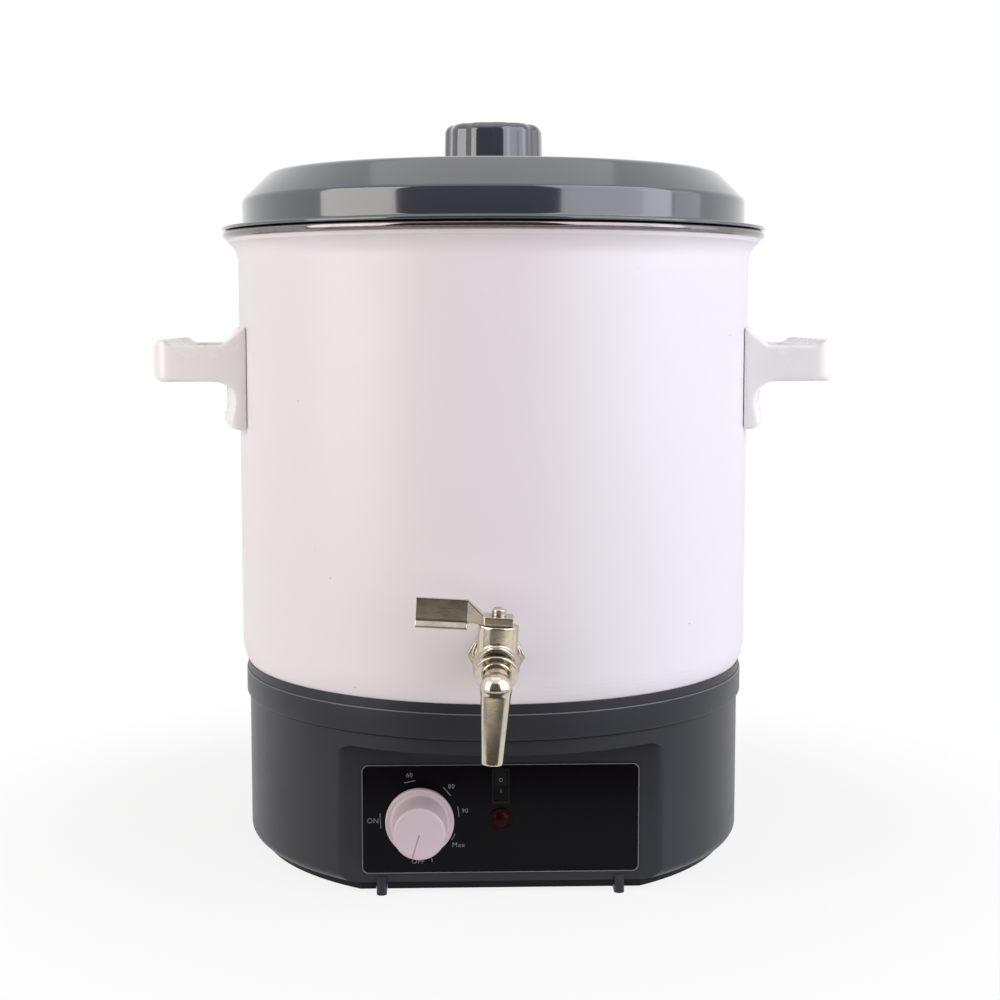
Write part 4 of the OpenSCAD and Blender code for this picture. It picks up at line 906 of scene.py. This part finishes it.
def make_curtain():
    """A cloth in front of the part that lies on the floor and then hangs upright behind the
    camera: x = r cos a, y = r sin a, with r and the height z given for each ring. Its inner edge
    is straight, r = gap / -sin a, up to a widest r. The camera doesn't see it. Reflections do: it
    is dark near the part, so that the glossy fronts stay dark between the lights, with a pale
    band further out, which the tap's metal mirrors, and mid grey where it hangs."""
    angle = np.linspace(math.radians(-172), math.radians(-8), 49)[:, None]
    gap, widest, lying = 0.36, 0.5, 0.004
    near = np.minimum(gap / np.maximum(-np.sin(angle), 0.01), widest)
    reach = np.array([[0.62, 0.7, 0.95, 1.4, 1.9, 2.3, 2.3, 2.3, 2.3, 2.3]])
    reach = np.concatenate([near, reach + 0 * near], axis=1)
    height = np.array([[lying] * 7 + [0.5, 1.0, 1.6, 2.4]])
    grid = np.stack([reach * np.cos(angle), reach * np.sin(angle), height + 0 * angle], axis=-1)
    curtain = put_mesh("curtain", grid.reshape(-1, 3), grid_faces(*reach.shape))
    f = Finish("curtain_cloth")
    away = f.distance()
    band = away.ramp(0.6, 0.68) * (1 - away.ramp(0.95, 1.15))
    hung = f.axis(2).ramp(0.02, 0.4)
    tone = f.mix(band, (0.05, 0.045, 0.04), (0.75, 0.7, 0.62))
    glow = f.mix(band, (0, 0, 0), (1.0, 0.93, 0.84))
    curtain.data.materials.append(f.surface(
        Base_Color=f.mix(hung, tone, (0.3, 0.28, 0.25)), Roughness=0.95,
        Emission_Color=f.mix(hung, glow, (0.18, 0.165, 0.15)), Emission_Strength=0.4))
    curtain.visible_camera = False


def make_world(ambient):
    """White where the camera, a glossy surface or glass looks, and a faint even light on the
    part."""
    world = bpy.data.worlds.new("studio")
    bpy.context.scene.world = world
    world.use_nodes = True
    tree = world.node_tree
    tree.nodes.clear()
    path = tree.nodes.new("ShaderNodeLightPath")
    seen = path.outputs["Is Camera Ray"]
    for ray in ("Is Glossy Ray", "Is Transmission Ray"):
        either = tree.nodes.new("ShaderNodeMath")
        either.operation = "MAXIMUM"
        tree.links.new(seen, either.inputs[0])
        tree.links.new(path.outputs[ray], either.inputs[1])
        seen = either.outputs[0]
    level = tree.nodes.new("ShaderNodeMapRange")
    level.inputs["To Min"].default_value = ambient
    level.inputs["To Max"].default_value = 1.0
    tree.links.new(seen, level.inputs["Value"])
    light = tree.nodes.new("ShaderNodeBackground")
    light.inputs["Color"].default_value = (1, 1, 1, 1)
    tree.links.new(level.outputs[0], light.inputs["Strength"])
    output = tree.nodes.new("ShaderNodeOutputWorld")
    tree.links.new(light.outputs[0], output.inputs["Surface"])


def make_camera(s):
    """The camera of the photograph: it stands a little to the left of the part's front, is
    turned as much to its right, and looks a little down."""
    yaw, down = math.radians(1.94), 5.55
    data = bpy.data.cameras.new("camera")
    data.lens = s.lens
    data.sensor_width = 36    # millimetres, as the lens is
    # The photograph's middle lies off the lens's axis by these shares of its width
    data.shift_x, data.shift_y = 0.0066, -0.021
    camera = bpy.data.objects.new("camera", data)
    camera.location = (-s.distance * math.sin(yaw), -s.distance * math.cos(yaw), s.height)
    camera.rotation_euler = (math.radians(90 - down), 0, -yaw)
    bpy.context.scene.collection.objects.link(camera)
    bpy.context.scene.camera = camera


# ---- Panel and registration ----

STEPS = (MELTER_OT_finishes, MELTER_OT_lid, MELTER_OT_knob, MELTER_OT_collar, MELTER_OT_dial,
         MELTER_OT_handles, MELTER_OT_tap, MELTER_OT_marks, MELTER_OT_stage)
GROUPS = (("melter_colours", MelterColours), ("melter_sizes", MelterSizes),
          ("melter_stage", MelterStage))


class MELTER_PT_sidebar(bpy.types.Panel):
    """The melter's settings and steps."""
    bl_idname = "MELTER_PT_sidebar"
    bl_label = "Wax melter"
    bl_space_type = "VIEW_3D"
    bl_region_type = "UI"
    bl_category = "Wax melter"

    def draw(self, context):
        for key, group in GROUPS:
            box = self.layout.box()
            for name in group.__annotations__:
                box.prop(getattr(context.scene, key), name)
        for step in STEPS:
            self.layout.operator(step.bl_idname)


CLASSES = (MelterColours, MelterSizes, MelterStage) + STEPS + (MELTER_PT_sidebar,)


def register():
    for item in CLASSES:
        bpy.utils.register_class(item)
    for key, group in GROUPS:
        setattr(bpy.types.Scene, key, PointerProperty(type=group))


def unregister():
    for key, _ in GROUPS:
        delattr(bpy.types.Scene, key)
    for item in reversed(CLASSES):
        bpy.utils.unregister_class(item)


def main():
    """Builds everything in order."""
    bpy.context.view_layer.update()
    register()
    for step in STEPS:
        family, action = step.bl_idname.split(".")
        getattr(getattr(bpy.ops, family), action)()


if __name__ == "__main__":
    main()
